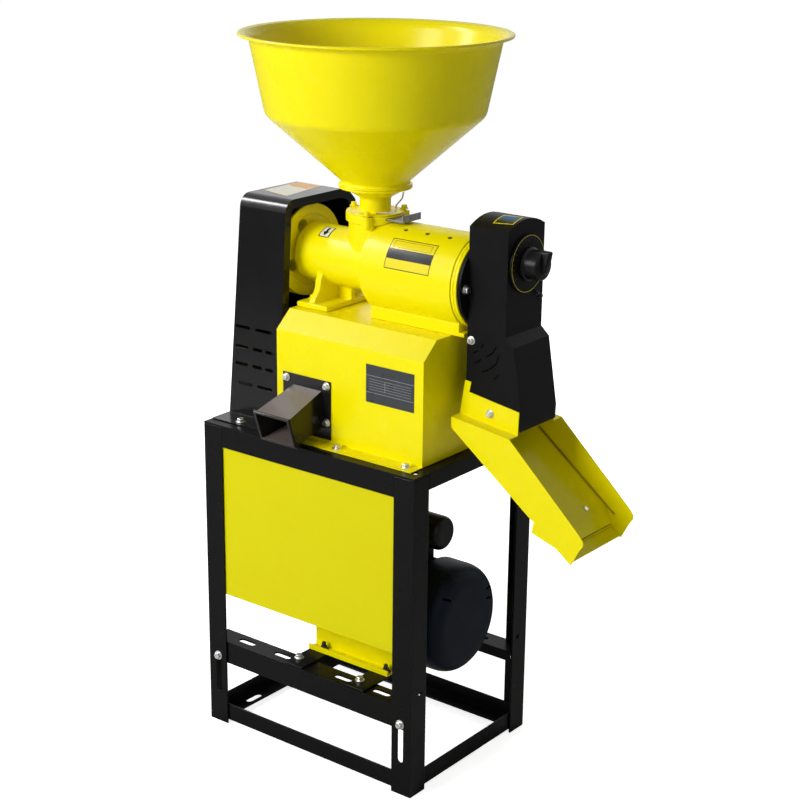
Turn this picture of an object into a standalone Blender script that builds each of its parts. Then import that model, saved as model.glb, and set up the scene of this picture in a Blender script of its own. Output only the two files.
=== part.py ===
import math

import bmesh
import bpy
from mathutils import Matrix, Vector

# General fits
GAP = 0.0003
MERGE = 0.00001
OVERCUT = 0.01
ROUND = 26
CHORD_ALLOWANCE = 0.0006

# Stand sizes
STAND_WIDTH = 0.421
STAND_DEPTH = 0.307
STAND_HEIGHT = 0.523
ANGLE_LEG = 0.0375
ANGLE_WALL = 0.003
FRONT_RAIL_DROP = 0.036
SIDE_RAIL_DROP = 0.027
MID_RAIL_TOP = 0.148
MID_RAIL_DROP = 0.038
LOW_RAIL_BASE = 0.006
LOW_RAIL_RISE = 0.029
PANEL_BOTTOM = 0.233
PANEL_TOP = 0.5
PANEL_FOLD = 0.012
SHEET = 0.0015
SLOT_WIDTH = 0.011
LEG_SLOT_INSET = 0.0205
LEG_SLOT_BOTTOM = 0.055
LEG_SLOT_TOP = 0.126
LEG_HOLE_HEIGHT = 0.17
LEG_HOLE_RADIUS = 0.004
RAIL_SLOT_LENGTH = 0.034
RAIL_SLOT_Y = 0.13
RAIL_SLOT_XS = (-0.147, -0.0695, 0.0575, 0.135)
LOW_SLOT_Y = 0.07
LOW_SLOT_INSET = 0.0168
TOP_EYE_INSET = 0.0155
TOP_EYE_X = STAND_WIDTH / 2 - TOP_EYE_INSET
TOP_BOLT_RIGHT = 0.0385
TOP_BOLT_LEFT = 0.0515
TOP_BOLT_Y = 0.124

# Motor platform sizes
CROSS_WIDTH = 0.036
CROSS_DROP = 0.03
CROSS_LEFT_X = -0.048
CROSS_RIGHT_X = 0.078
PLATFORM_BOLT_Y = 0.125
FOOT_BOLT_Y = 0.081
FOOT_BOLT_LEFT_X = -0.024
FOOT_BOLT_RIGHT_X = 0.104

# Motor sizes
MOTOR_HEIGHT = 0.241
FRAME_LEFT = -0.05
FRAME_RIGHT = 0.128
FRAME_BORE = 0.07
FIN_ROOT = 0.076
FIN_TIP = 0.081
FIN_COUNT = 20
BELL_NOSE = 0.036
MOTOR_SHAFT_RADIUS = 0.012
MOTOR_BEARING_RADIUS = 0.026
MOTOR_BEARING_WIDTH = 0.015
ROTOR_RADIUS = 0.0447
ROTOR_LEFT = -0.015
ROTOR_RIGHT = 0.095
STATOR_TEETH = 12
AIR_GAP = 0.0012
FAN_LEFT = 0.148
FAN_RADIUS = 0.068
FAN_DEPTH = 0.024
BLADE_COUNT = 7
COVER_LEFT = 0.1405
COVER_RIGHT = 0.202
COVER_STEP = 0.004
COVER_RADIUS = 0.088
FOOT_LEFT = -0.049
FOOT_RIGHT = 0.114
FOOT_WALL_Y = 0.071
FOOT_EDGE_Y = 0.09
FOOT_LIP = 0.009
FOOT_PLATE = 0.003
CAPACITOR_HEIGHT = 0.376
CAPACITOR_RADIUS = 0.0275
CAPACITOR_LEFT = 0.02
CAPACITOR_RIGHT = 0.157
SADDLE_HALF = 0.02
SADDLE_LEFT = 0.05
SADDLE_RIGHT = 0.12
SADDLE_SINK = 0.002

# Belt drive sizes
BELT_PLANE = -0.134
RIM_WIDTH = 0.035
GROOVE_PITCH = 0.015
GROOVE_TOP = 0.0131
GROOVE_FLOOR = 0.008
GROOVE_DEPTH = 0.0115
MAIN_PULLEY_RADIUS = 0.073
MOTOR_PULLEY_RADIUS = 0.042
RIM_INSIDE = 0.058
WEB_HALF = 0.005
HUB_RADIUS = 0.028
PULLEY_HOLE_RADIUS = 0.011
PULLEY_HOLE_CIRCLE = 0.044
PULLEY_HOLE_ANGLE = 114.0
BELT_TOP = 0.0124
BELT_FLOOR = 0.0082
BELT_HEIGHT = 0.008
BELT_SINK = 0.0005

# Mill sizes
SHAFT_HEIGHT = 0.7885
SHAFT_RADIUS = 0.015
SHAFT_LEFT = -0.158
THREAD_RADIUS = 0.01
THREAD_END = 0.2115
NECK_RADIUS = 0.046
NECK_LEFT = -0.112
BEARING_RADIUS = 0.031
BEARING_WIDTH = 0.016
CHAMBER_LEFT = -0.024
SEAL_LEFT = -0.03
CHAMBER_RADIUS = 0.033
FLANGE_LEFT = 0.032
FLANGE_RADIUS = 0.066
MILL_LEFT = 0.0385
MILL_RIGHT = 0.206
MILL_RADIUS = 0.07
MILL_BORE = 0.062
MILL_END_WALL = 0.006
SADDLE_PLATE_TOP = 0.733
SADDLE_PLATE_Y = 0.044
BRAN_HOLE_LEFT = 0.06
BRAN_HOLE_RIGHT = 0.19
BRAN_HOLE_Y = 0.03
BLADE_SCREW_XS = (0.0916, 0.1319, 0.1731)
BLADE_SCREW_ANGLE = 111.0
BLADE_SCREW_RADIUS = 0.0026
BLADE_DEPTH = 0.0095
BLADE_WIDTH = 0.012
SIEVE_RADIUS = 0.0555
SIEVE_SHEET = 0.001
SIEVE_SLOT_SHARE = 0.72
SIEVE_SLOT_HALF = 0.002
SIEVE_COLUMNS = 3
SIEVE_ROWS = 5
ROLLER_LEFT = 0.05
ROLLER_RIGHT = 0.2
ROLLER_ROOT = 0.04
ROLLER_RIB = 0.046
ROLLER_RIBS = 6
ROLLER_TWIST = 30.0
SCREW_HUB = 0.0185
SCREW_RADIUS = 0.0315
SCREW_PITCH = 0.03
SCREW_TURNS = 2
SCREW_THICK = 0.004

# Casting foot and feed head sizes
HOPPER_X = 0.012
HEAD_RADIUS = 0.041
HEAD_TOP = 0.867
HEAD_COLLAR_BASE = 0.854
HEAD_COLLAR_RADIUS = 0.045
LUG_RADIUS = 0.0085
LUG_CIRCLE = 0.046
LUG_BASE = 0.849
LUG_ANGLES = (-66.0, 54.0, 174.0)
FEED_BORE = 0.02
GATE_BASE = 0.861
GATE_THICK = 0.003
GATE_HALF = 0.022
GATE_LEFT = -0.014
GATE_RIGHT = 0.083
GATE_LIP_TOP = 0.872
GATE_LIP_THICK = 0.0025
WEB_LEFT = -0.07
WEB_RIGHT = -0.058
WEB_FOOT_Y = 0.062
PAD_LEFT = -0.0915
PAD_RIGHT = -0.03
PAD_Y = 0.064
PAD_THICK = 0.0085
PAD_BOLT_X = -0.081
PAD_BOLT_Y = 0.037

# Outlet and pressure gate sizes
RING_LEFT = 0.2063
RING_RIGHT = 0.216
RING_RADIUS = 0.068
RING_BORE = 0.046
PLATE_RIGHT = 0.222
PLATE_RADIUS = 0.066
PORT_HEIGHT = 0.829
PORT_RADIUS = 0.013
END_BOLT_CIRCLE = 0.0525
CASING_LEFT = 0.2231
CASING_RIGHT = 0.28925
CASING_HALF = 0.04525
CASING_SHOULDER = 0.88125
CASING_CROWN = 0.0125
CASING_WINDOW = 0.0225
DIAL_RADIUS = 0.043
DIAL_THICK = 0.004
KNOB_RADIUS = 0.025
KNOB_BASE_END = 0.322
KNOB_GRIP_END = 0.334
GRIP_TIP = 0.023
GRIP_TAIL = 0.011
GRIP_HALF = 0.0085
DISC_RADIUS = 0.017
DISC_THICK = 0.004
ROD_RADIUS = 0.005
ROD_END = 0.305
COLLAR_LEFT = 0.27
COLLAR_RIGHT = 0.276
COLLAR_RADIUS = 0.012
PLUNGER_TRAVEL = 0.006
SPRING_RADIUS = 0.0088
SPRING_WIRE = 0.0011
SPRING_TURNS = 5

# Hopper sizes
HOPPER_RIM = 0.205
HOPPER_ROLL = 0.0165
HOPPER_BAND_FLARE = 0.039
HOPPER_MOUTH = HOPPER_RIM - HOPPER_ROLL
HOPPER_SHOULDER = HOPPER_RIM - HOPPER_BAND_FLARE
HOPPER_FOOT = 0.052
HOPPER_RING_RADIUS = 0.0565
HOPPER_RING_BASE = 0.9083
HOPPER_RING_RISE = 0.0067
HOPPER_CONE_RISE = 0.101
HOPPER_BAND_RISE = 0.12
HOPPER_FOOT_Z = HOPPER_RING_BASE + HOPPER_RING_RISE
HOPPER_SHOULDER_Z = HOPPER_FOOT_Z + HOPPER_CONE_RISE
HOPPER_TOP = HOPPER_SHOULDER_Z + HOPPER_BAND_RISE
HOPPER_SHEET = 0.0012
NECK_TUBE_RADIUS = 0.024
NECK_TUBE_TOP = 0.89
NECK_RING_THICK = 0.003
WIRE_RADIUS = 0.0015

# Bran box sizes
BOX_LEFT = -0.0927
BOX_RIGHT = 0.192
BOX_HALF = 0.11
BOX_TOP = 0.7135
BOX_TOP_HALF = 0.079
BOX_SHOULDER = 0.686
BOX_FOOT = 0.137
SLIDE_HIGH = 0.64
SLIDE_LOW = 0.5455
DUCT_FLANGE = (-0.079, 0.017, 0.529, 0.622)
DUCT_THROAT = (-0.057, -0.002, 0.546, 0.604)
DUCT_MOUTH = (-0.066, 0.0, 0.532, 0.577)
DUCT_MOUTH_TOP_Y = -0.189
DUCT_MOUTH_BASE_Y = -0.1735
DUCT_LIP = 0.0035
DUCT_BOLT_XS = (-0.0715, 0.0095)
DUCT_BOLT_TOP_Z = 0.614
DUCT_BOLT_LOW_Z = 0.556

# Belt guard sizes
GUARD_RIGHT = -0.1043
GUARD_LEFT = -0.2093
GUARD_LEAN = 0.0127
GUARD_FRONT = 0.0943
GUARD_FRONT_TOP = 0.0745
GUARD_BACK = 0.1143
GUARD_FOOT = 0.136
GUARD_TOP = 0.87775
GUARD_FRONT_ROUND = 0.858
GUARD_LIP = 0.0135
VENT_HEIGHT = 0.005

# Chute sizes
CHUTE_TIP = 0.451
CHUTE_HALF = 0.0683
CHUTE_BRACKET_HALF = 0.047
CHUTE_FLOOR_HALF = 0.0672
CHUTE_SHEET = 0.0015

# Bolt hole sizes
BOLT_RADIUS = 0.0035
BOLT_CLEAR = 0.0005
SMALL_RADIUS = 0.0025

# Places derived from the sizes above
SHIFT_X = (STAND_WIDTH / 2 - CHUTE_TIP) / 2
SKIN = SHEET / 2
CROSS_BASE = MID_RAIL_TOP + GAP
FOOT_BASE = CROSS_BASE + ANGLE_WALL + GAP
PAD_BASE = BOX_TOP + GAP
BOX_BASE = STAND_HEIGHT + GAP
GATE_TOP = GATE_BASE + GAP + GATE_THICK
PORT_RISE = PORT_HEIGHT - SHAFT_HEIGHT

FINISHES = {
    "yellow": ((0.92, 0.78, 0.0, 1.0), 0.0, 0.32),
    "black": ((0.02, 0.02, 0.022, 1.0), 0.0, 0.38),
    "navy": ((0.02, 0.04, 0.11, 1.0), 0.0, 0.42),
    "zinc": ((0.62, 0.62, 0.6, 1.0), 1.0, 0.35),
    "iron": ((0.22, 0.22, 0.23, 1.0), 1.0, 0.5),
    "steel": ((0.5, 0.5, 0.51, 1.0), 1.0, 0.3),
    "core": ((0.3, 0.22, 0.18, 1.0), 1.0, 0.5),
    "rubber": ((0.03, 0.03, 0.03, 1.0), 0.0, 0.8),
    "plastic": ((0.025, 0.025, 0.03, 1.0), 0.0, 0.45),
}

# Clearing the file
for leftover in list(bpy.data.objects):
    bpy.data.objects.remove(leftover, do_unlink=True)


def add_empty(name, location, parent=None):
    empty = bpy.data.objects.new(name, None)
    empty.location = location
    empty.parent = parent
    bpy.context.scene.collection.objects.link(empty)
    return empty


stand_datum = add_empty("stand_datum", (SHIFT_X, 0.0, 0.0))
main_axis = add_empty("main_shaft_axis", (0.0, 0.0, SHAFT_HEIGHT), stand_datum)
motor_axis = add_empty("motor_shaft_axis", (0.0, 0.0, MOTOR_HEIGHT), stand_datum)
port_axis = add_empty("pressure_axis", (0.0, 0.0, PORT_HEIGHT), stand_datum)
gate_datum = add_empty("slide_gate_datum", (HOPPER_X, 0.0, GATE_BASE), stand_datum)


def at(axis, a, b, t):
    """Point at (a, b) across the axis and t along it"""
    if axis == "X":
        return Vector((t, a, b))
    if axis == "Y":
        return Vector((a, t, b))
    return Vector((a, b, t))


def add_object(name, bm, finish, parent=stand_datum, smooth=35.0):
    bmesh.ops.recalc_face_normals(bm, faces=bm.faces)
    mesh = bpy.data.meshes.new(name)
    bm.to_mesh(mesh)
    bm.free()
    mesh.shade_smooth()
    mesh.set_sharp_from_angle(angle=math.radians(smooth))
    obj = bpy.data.objects.new(name, mesh)
    obj.parent = parent
    bpy.context.scene.collection.objects.link(obj)
    colour, metal, rough = FINISHES[finish]
    material = bpy.data.materials.new(name + "_finish")
    material.use_nodes = True
    shader = material.node_tree.nodes["Principled BSDF"]
    shader.inputs["Base Color"].default_value = colour
    shader.inputs["Metallic"].default_value = metal
    shader.inputs["Roughness"].default_value = rough
    mesh.materials.append(material)
    return obj


def combine(target, bm, label, operation="DIFFERENCE"):
    """Join or cut the target with the shape in bm"""
    bmesh.ops.recalc_face_normals(bm, faces=bm.faces)
    mesh = bpy.data.meshes.new(target.name + label)
    bm.to_mesh(mesh)
    bm.free()
    tool = bpy.data.objects.new(target.name + label, mesh)
    tool.parent = target.parent
    tool.hide_render = True
    tool.display_type = "WIRE"
    bpy.context.scene.collection.objects.link(tool)
    change = target.modifiers.new(label.strip("_"), "BOOLEAN")
    change.object = tool
    change.operation = operation
    change.solver = "EXACT"


def thicken(target, thickness, mitred=True):
    shell = target.modifiers.new("sheet", "SOLIDIFY")
    shell.thickness = thickness
    shell.offset = 0.0
    if mitred:
        shell.solidify_mode = "NON_MANIFOLD"
        shell.nonmanifold_thickness_mode = "CONSTRAINTS"
    else:
        shell.use_even_offset = True


def prism(bm, axis, outline, start, end):
    base = [bm.verts.new(at(axis, a, b, start)) for a, b in outline]
    face = bm.faces.new(base)
    grown = bmesh.ops.extrude_face_region(bm, geom=[face])["geom"]
    moved = [item for item in grown if isinstance(item, bmesh.types.BMVert)]
    bmesh.ops.translate(bm, verts=moved, vec=at(axis, 0.0, 0.0, end - start))
    return bm


def turn(bm, axis, profile, segments=ROUND, centre=(0.0, 0.0)):
    """Spin a profile of (along, radius) pairs about the axis"""
    points = [at(axis, centre[0], centre[1], t) + spoke(axis, r) for t, r in profile]
    verts = [bm.verts.new(point) for point in points]
    ends_on_axis = profile[0][1] == 0.0 and profile[-1][1] == 0.0
    pairs = list(zip(verts, verts[1:]))
    if not ends_on_axis:
        pairs.append((verts[-1], verts[0]))
    edges = [bm.edges.new(pair) for pair in pairs]
    bmesh.ops.spin(
        bm,
        geom=verts + edges,
        cent=at(axis, centre[0], centre[1], 0.0),
        axis=at(axis, 0.0, 0.0, 1.0),
        angle=2 * math.pi,
        steps=segments,
    )
    bmesh.ops.remove_doubles(bm, verts=bm.verts, dist=MERGE)
    return bm


def spoke(axis, radius):
    return at(axis, 0.0, radius, 0.0) if axis == "X" else at(axis, radius, 0.0, 0.0)


def loft(bm, rings, closed=False):
    """Skin a row of equal rings and cap its ends unless it closes"""
    rows = [[bm.verts.new(point) for point in ring] for ring in rings]
    count = len(rows[0])
    pairs = list(zip(rows, rows[1:]))
    if closed:
        pairs.append((rows[-1], rows[0]))
    for first, second in pairs:
        for i in range(count):
            j = (i + 1) % count
            bm.faces.new((first[i], first[j], second[j], second[i]))
    if not closed:
        bm.faces.new(rows[0])
        bm.faces.new(rows[-1])
    return bm


def circle(radius, segments=ROUND, centre=(0.0, 0.0), start=0.0):
    ring = []
    for i in range(segments):
        angle = start + 2 * math.pi * i / segments
        a = centre[0] + radius * math.cos(angle)
        b = centre[1] + radius * math.sin(angle)
        ring.append((a, b))
    return ring


def tube(bm, axis, outer, inner, start, end):
    """Straight tube between two outlines of equal length"""
    rings = []
    for outline, t in ((outer, start), (outer, end), (inner, end), (inner, start)):
        rings.append([at(axis, a, b, t) for a, b in outline])
    return loft(bm, rings, closed=True)


def box(bm, low, high):
    outline = [(low[0], low[1]), (high[0], low[1]), (high[0], high[1]), (low[0], high[1])]
    return prism(bm, "Z", outline, low[2], high[2])


def slot(centre, length, width, upright=False):
    """Outline of a round-ended slot"""
    half = (length - width) / 2
    outline = []
    for side in (1, -1):
        for i in range(5):
            angle = math.pi * i / 4 - math.pi / 2
            a = side * (half + math.cos(angle) * width / 2)
            b = side * math.sin(angle) * width / 2
            outline.append((centre[0] - b, centre[1] + a) if upright else (centre[0] + a, centre[1] + b))
    return outline


def strip(path, thickness):
    """Outline of a folded sheet seen along its folds"""
    left, right = [], []
    for i, point in enumerate(path):
        before = Vector(path[max(i - 1, 0)])
        after = Vector(path[min(i + 1, len(path) - 1)])
        here = Vector(point)
        into = (here - before).normalized() if i > 0 else (after - here).normalized()
        out = (after - here).normalized() if i < len(path) - 1 else into
        bisector = (into + out).normalized()
        normal = Vector((-bisector.y, bisector.x))
        reach = thickness / 2 / max(normal.dot(Vector((-into.y, into.x))), 0.2)
        left.append(tuple(here + normal * reach))
        right.append(tuple(here - normal * reach))
    return left + right[::-1]


def arc(centre, radius, first, last, steps):
    """Points of an arc between two angles in degrees"""
    points = []
    for i in range(steps + 1):
        angle = math.radians(first + (last - first) * i / steps)
        a = centre[0] + radius * math.cos(angle)
        b = centre[1] + radius * math.sin(angle)
        points.append((a, b))
    return points


def holes(target, axis, places, start, end, small=False, label="_holes"):
    """Clearance holes for a row of bolts"""
    radius = (SMALL_RADIUS if small else BOLT_RADIUS) + BOLT_CLEAR
    bm = bmesh.new()
    for place in places:
        prism(bm, axis, circle(radius, 8, place, math.pi / 8), start, end)
    combine(target, bm, label)


def angle_section(corner, reach_a, reach_b, wall=ANGLE_WALL):
    """Outline of an angle bar whose outer corner is given"""
    a, b = corner
    ta = math.copysign(wall, reach_a)
    tb = math.copysign(wall, reach_b)
    return [
        (a, b), (a + reach_a, b), (a + reach_a, b + tb),
        (a + ta, b + tb), (a + ta, b + reach_b), (a, b + reach_b),
    ]


def notched_angle(bm, along, across, base, drop):
    """Flat flange over the whole length with a shorter flange folded down"""
    rows = []
    for a in along["cuts"]:
        rows.append([bm.verts.new(along["put"](a, b, base)) for b in across])
    cells = []
    for i in range(len(rows) - 1):
        for j in range(len(across) - 1):
            cells.append(bm.faces.new((rows[i][j], rows[i + 1][j], rows[i + 1][j + 1], rows[i][j + 1])))
    grown = bmesh.ops.extrude_face_region(bm, geom=cells)["geom"]
    moved = [item for item in grown if isinstance(item, bmesh.types.BMVert)]
    bmesh.ops.translate(bm, verts=moved, vec=(0.0, 0.0, ANGLE_WALL))
    bmesh.ops.recalc_face_normals(bm, faces=bm.faces)
    middle = along["put"]((along["cuts"][1] + along["cuts"][2]) / 2, (across[-2] + across[-1]) / 2, base)
    under = min(bm.faces, key=lambda face: (face.calc_center_median() - middle).length)
    grown = bmesh.ops.extrude_face_region(bm, geom=[under])["geom"]
    moved = [item for item in grown if isinstance(item, bmesh.types.BMVert)]
    bmesh.ops.translate(bm, verts=moved, vec=(0.0, 0.0, -drop))
    bmesh.ops.delete(bm, geom=[under], context="FACES_ONLY")
    return bm


# Stand legs
LEG_TOP = STAND_HEIGHT - ANGLE_WALL - GAP
for side_x, side_word in ((-1, "left"), (1, "right")):
    for side_y, face_word in ((-1, "front"), (1, "back")):
        corner = (side_x * STAND_WIDTH / 2, side_y * STAND_DEPTH / 2)
        section = angle_section(corner, -side_x * ANGLE_LEG, -side_y * ANGLE_LEG)
        bm = prism(bmesh.new(), "Z", section, 0.0, LEG_TOP)
        leg = add_object(f"leg_{face_word}_{side_word}", bm, "black")
        slot_x = side_x * (STAND_WIDTH / 2 - LEG_SLOT_INSET)
        slot_z = (LEG_SLOT_BOTTOM + LEG_SLOT_TOP) / 2
        outline = slot((slot_x, slot_z), LEG_SLOT_TOP - LEG_SLOT_BOTTOM, SLOT_WIDTH, upright=True)
        wall_y = side_y * (STAND_DEPTH / 2 - ANGLE_WALL / 2)
        cut = prism(bmesh.new(), "Y", outline, wall_y - OVERCUT, wall_y + OVERCUT)
        combine(leg, cut, "_slot")
        eye = circle(LEG_HOLE_RADIUS, 10, (side_y * RAIL_SLOT_Y, LEG_HOLE_HEIGHT))
        wall_x = side_x * (STAND_WIDTH / 2 - ANGLE_WALL / 2)
        combine(leg, prism(bmesh.new(), "X", eye, wall_x - OVERCUT, wall_x + OVERCUT), "_eye")

# Stand top rails
RAIL_INNER = STAND_DEPTH / 2 - ANGLE_LEG - GAP
end_bolts = (STAND_WIDTH / 2 - TOP_BOLT_RIGHT, TOP_BOLT_LEFT - STAND_WIDTH / 2)
TOP_BOLT_XS = {-1: (end_bolts[0], 0.04, end_bolts[1]), 1: (end_bolts[0], -0.07, end_bolts[1])}
for side_y, word in ((-1, "front"), (1, "back")):
    notch = STAND_WIDTH / 2 - ANGLE_LEG - GAP
    along = {
        "cuts": (-STAND_WIDTH / 2, -notch, notch, STAND_WIDTH / 2),
        "put": lambda a, b, z: Vector((a, b, z)),
    }
    edge = side_y * STAND_DEPTH / 2
    across = (edge - side_y * ANGLE_LEG, edge - side_y * ANGLE_WALL, edge)
    bm = notched_angle(bmesh.new(), along, across, STAND_HEIGHT - ANGLE_WALL, FRONT_RAIL_DROP - ANGLE_WALL)
    rail = add_object(f"rail_top_{word}", bm, "black")
    bm = bmesh.new()
    for x in (-TOP_EYE_X, TOP_EYE_X):
        eye = circle(SLOT_WIDTH / 2, 10, (x, side_y * RAIL_SLOT_Y))
        prism(bm, "Z", eye, LEG_TOP - OVERCUT, STAND_HEIGHT + OVERCUT)
    combine(rail, bm, "_eyes")
    places = [(x, side_y * TOP_BOLT_Y) for x in TOP_BOLT_XS[side_y]]
    holes(rail, "Z", places, LEG_TOP - OVERCUT, STAND_HEIGHT + OVERCUT)
for side_x, word in ((-1, "left"), (1, "right")):
    corner = (side_x * STAND_WIDTH / 2, STAND_HEIGHT)
    section = angle_section(corner, -side_x * ANGLE_LEG, -SIDE_RAIL_DROP)
    add_object(f"rail_top_{word}", prism(bmesh.new(), "Y", section, -RAIL_INNER, RAIL_INNER), "black")

# Stand middle rails
BEHIND_Y = STAND_DEPTH / 2 - ANGLE_WALL - GAP
BEHIND_X = STAND_WIDTH / 2 - ANGLE_WALL - GAP
LEG_BOLT_X = STAND_WIDTH / 2 - LEG_SLOT_INSET
LEG_BOLT_Z = LEG_SLOT_TOP - SLOT_WIDTH / 2
CROSS_BOLT_XS = (CROSS_LEFT_X + CROSS_WIDTH / 4, CROSS_RIGHT_X + CROSS_WIDTH / 4)
for side_y, word in ((-1, "front"), (1, "back")):
    section = angle_section((side_y * BEHIND_Y, MID_RAIL_TOP), -side_y * ANGLE_LEG, -MID_RAIL_DROP)
    rail = add_object(f"rail_mid_{word}", prism(bmesh.new(), "X", section, -BEHIND_X, BEHIND_X), "black")
    bm = bmesh.new()
    for x in RAIL_SLOT_XS:
        outline = slot((x, side_y * RAIL_SLOT_Y), RAIL_SLOT_LENGTH, SLOT_WIDTH)
        prism(bm, "Z", outline, MID_RAIL_TOP - OVERCUT, MID_RAIL_TOP + OVERCUT)
    combine(rail, bm, "_slots")
    places = [(x, side_y * PLATFORM_BOLT_Y) for x in CROSS_BOLT_XS]
    holes(rail, "Z", places, MID_RAIL_TOP - OVERCUT, MID_RAIL_TOP + OVERCUT)
    wall = side_y * BEHIND_Y
    ends = [(-LEG_BOLT_X, LEG_BOLT_Z), (LEG_BOLT_X, LEG_BOLT_Z)]
    holes(rail, "Y", ends, wall - OVERCUT, wall + OVERCUT, label="_end_holes")

# Stand bottom rails
for side_y, word in ((-1, "front"), (1, "back")):
    section = angle_section((side_y * BEHIND_Y, LOW_RAIL_BASE), -side_y * LOW_RAIL_RISE, LOW_RAIL_RISE)
    add_object(f"rail_bottom_{word}", prism(bmesh.new(), "X", section, -BEHIND_X, BEHIND_X), "black")
LOW_SIDE_END = BEHIND_Y - LOW_RAIL_RISE - GAP
for side_x, word in ((-1, "left"), (1, "right")):
    section = angle_section((side_x * BEHIND_X, LOW_RAIL_BASE), -side_x * LOW_RAIL_RISE, LOW_RAIL_RISE)
    bm = prism(bmesh.new(), "Y", section, -LOW_SIDE_END, LOW_SIDE_END)
    rail = add_object(f"rail_bottom_{word}", bm, "black")
    bm = bmesh.new()
    slot_x = side_x * (BEHIND_X - LOW_SLOT_INSET)
    for y in (-LOW_SLOT_Y, LOW_SLOT_Y):
        outline = slot((slot_x, y), RAIL_SLOT_LENGTH, SLOT_WIDTH, upright=True)
        prism(bm, "Z", outline, LOW_RAIL_BASE - OVERCUT, LOW_RAIL_BASE + OVERCUT)
    combine(rail, bm, "_slots")

# Front panel
PANEL_Y = -(STAND_DEPTH / 2 - ANGLE_WALL - GAP) + SHEET / 2
panel_path = [
    (PANEL_Y + PANEL_FOLD, PANEL_BOTTOM + SKIN), (PANEL_Y, PANEL_BOTTOM + SKIN),
    (PANEL_Y, PANEL_TOP - SKIN), (PANEL_Y + PANEL_FOLD, PANEL_TOP - SKIN),
]
bm = prism(bmesh.new(), "X", strip(panel_path, SHEET), -BEHIND_X, BEHIND_X)
add_object("front_panel", bm, "yellow")

# Motor platform
FOOT_BOLT_XS = (FOOT_BOLT_LEFT_X, FOOT_BOLT_RIGHT_X)
CROSS_NOTCH = BEHIND_Y - ANGLE_LEG - GAP
for name, left, fold in (("cross_member_left", CROSS_LEFT_X, 1), ("cross_member_right", CROSS_RIGHT_X, -1)):
    right = left + CROSS_WIDTH
    plain, folded = (left, right) if fold > 0 else (right, left)
    along = {
        "cuts": (-BEHIND_Y + GAP, -CROSS_NOTCH, CROSS_NOTCH, BEHIND_Y - GAP),
        "put": lambda a, b, z: Vector((b, a, z)),
    }
    across = (plain, folded - fold * ANGLE_WALL, folded)
    bm = notched_angle(bmesh.new(), along, across, CROSS_BASE, CROSS_DROP - ANGLE_WALL)
    cross = add_object(name, bm, "black")
    places = [(x, y) for x in CROSS_BOLT_XS for y in (-PLATFORM_BOLT_Y, PLATFORM_BOLT_Y) if left < x < right]
    places += [(x, y) for x in FOOT_BOLT_XS for y in (-FOOT_BOLT_Y, FOOT_BOLT_Y) if left < x < right]
    holes(cross, "Z", places, CROSS_BASE - OVERCUT, CROSS_BASE + OVERCUT)

# Motor foot bent round the frame
foot_mid = FOOT_BASE + FOOT_PLATE / 2
cradle = FIN_TIP + GAP + FOOT_PLATE / 2 + CHORD_ALLOWANCE
wall_mid = FOOT_WALL_Y - FOOT_PLATE / 2
meet = math.degrees(math.acos(wall_mid / cradle))
edge_mid = FOOT_EDGE_Y - FOOT_PLATE / 2
left_side = [(-edge_mid, FOOT_BASE + FOOT_LIP), (-edge_mid, foot_mid), (-wall_mid, foot_mid)]
right_side = [(-y, z) for y, z in reversed(left_side)]
bend = arc((0.0, MOTOR_HEIGHT), cradle, 180 + meet, 360 - meet, 10)
foot_outline = strip(left_side + bend + right_side, FOOT_PLATE)
foot = add_object("motor_foot", prism(bmesh.new(), "X", foot_outline, FOOT_LEFT, FOOT_RIGHT), "yellow")
places = [(x, y) for x in FOOT_BOLT_XS for y in (-FOOT_BOLT_Y, FOOT_BOLT_Y)]
holes(foot, "Z", places, FOOT_BASE - OVERCUT / 2, FOOT_BASE + OVERCUT)

# Motor frame with cooling fins
fins = []
for i in range(FIN_COUNT):
    for step, radius in ((0.0, FIN_ROOT), (0.62, FIN_ROOT), (0.7, FIN_TIP), (0.92, FIN_TIP)):
        angle = 2 * math.pi * (i + step) / FIN_COUNT
        fins.append((radius * math.cos(angle), radius * math.sin(angle)))
lining = [(a * FRAME_BORE / math.hypot(a, b), b * FRAME_BORE / math.hypot(a, b)) for a, b in fins]
bm = tube(bmesh.new(), "X", fins, lining, FRAME_LEFT, FRAME_RIGHT)
add_object("motor_housing", bm, "navy", motor_axis, 20.0)

# Motor end bells
SEAT = MOTOR_BEARING_RADIUS + GAP
BORE = MOTOR_SHAFT_RADIUS + 2 * GAP
DRIVE_SEAT = FRAME_LEFT - BELL_NOSE + 0.003
drive = [
    (FRAME_LEFT - GAP, FIN_TIP), (FRAME_LEFT - 0.012, FIN_TIP), (FRAME_LEFT - 0.028, 0.048),
    (FRAME_LEFT - BELL_NOSE, 0.034), (FRAME_LEFT - BELL_NOSE, BORE), (DRIVE_SEAT, BORE),
    (DRIVE_SEAT, SEAT), (DRIVE_SEAT + MOTOR_BEARING_WIDTH, SEAT), (FRAME_LEFT - 0.014, 0.05),
    (FRAME_LEFT - GAP, FRAME_BORE),
]
add_object("motor_end_bell_drive", turn(bmesh.new(), "X", drive), "navy", motor_axis)
FAN_SEAT = FRAME_RIGHT - 0.006
fan_bell = [
    (FRAME_RIGHT + GAP, FIN_TIP), (COVER_LEFT - COVER_STEP, FIN_TIP), (COVER_LEFT - COVER_STEP, COVER_RADIUS),
    (COVER_LEFT - GAP, COVER_RADIUS), (COVER_LEFT - GAP, BORE),
    (FAN_SEAT + MOTOR_BEARING_WIDTH, BORE), (FAN_SEAT + MOTOR_BEARING_WIDTH, SEAT), (FAN_SEAT, SEAT),
    (FAN_SEAT, SEAT + 0.004), (FRAME_RIGHT + GAP, SEAT + 0.008),
]
add_object("motor_end_bell_fan", turn(bmesh.new(), "X", fan_bell), "navy", motor_axis)

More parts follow.
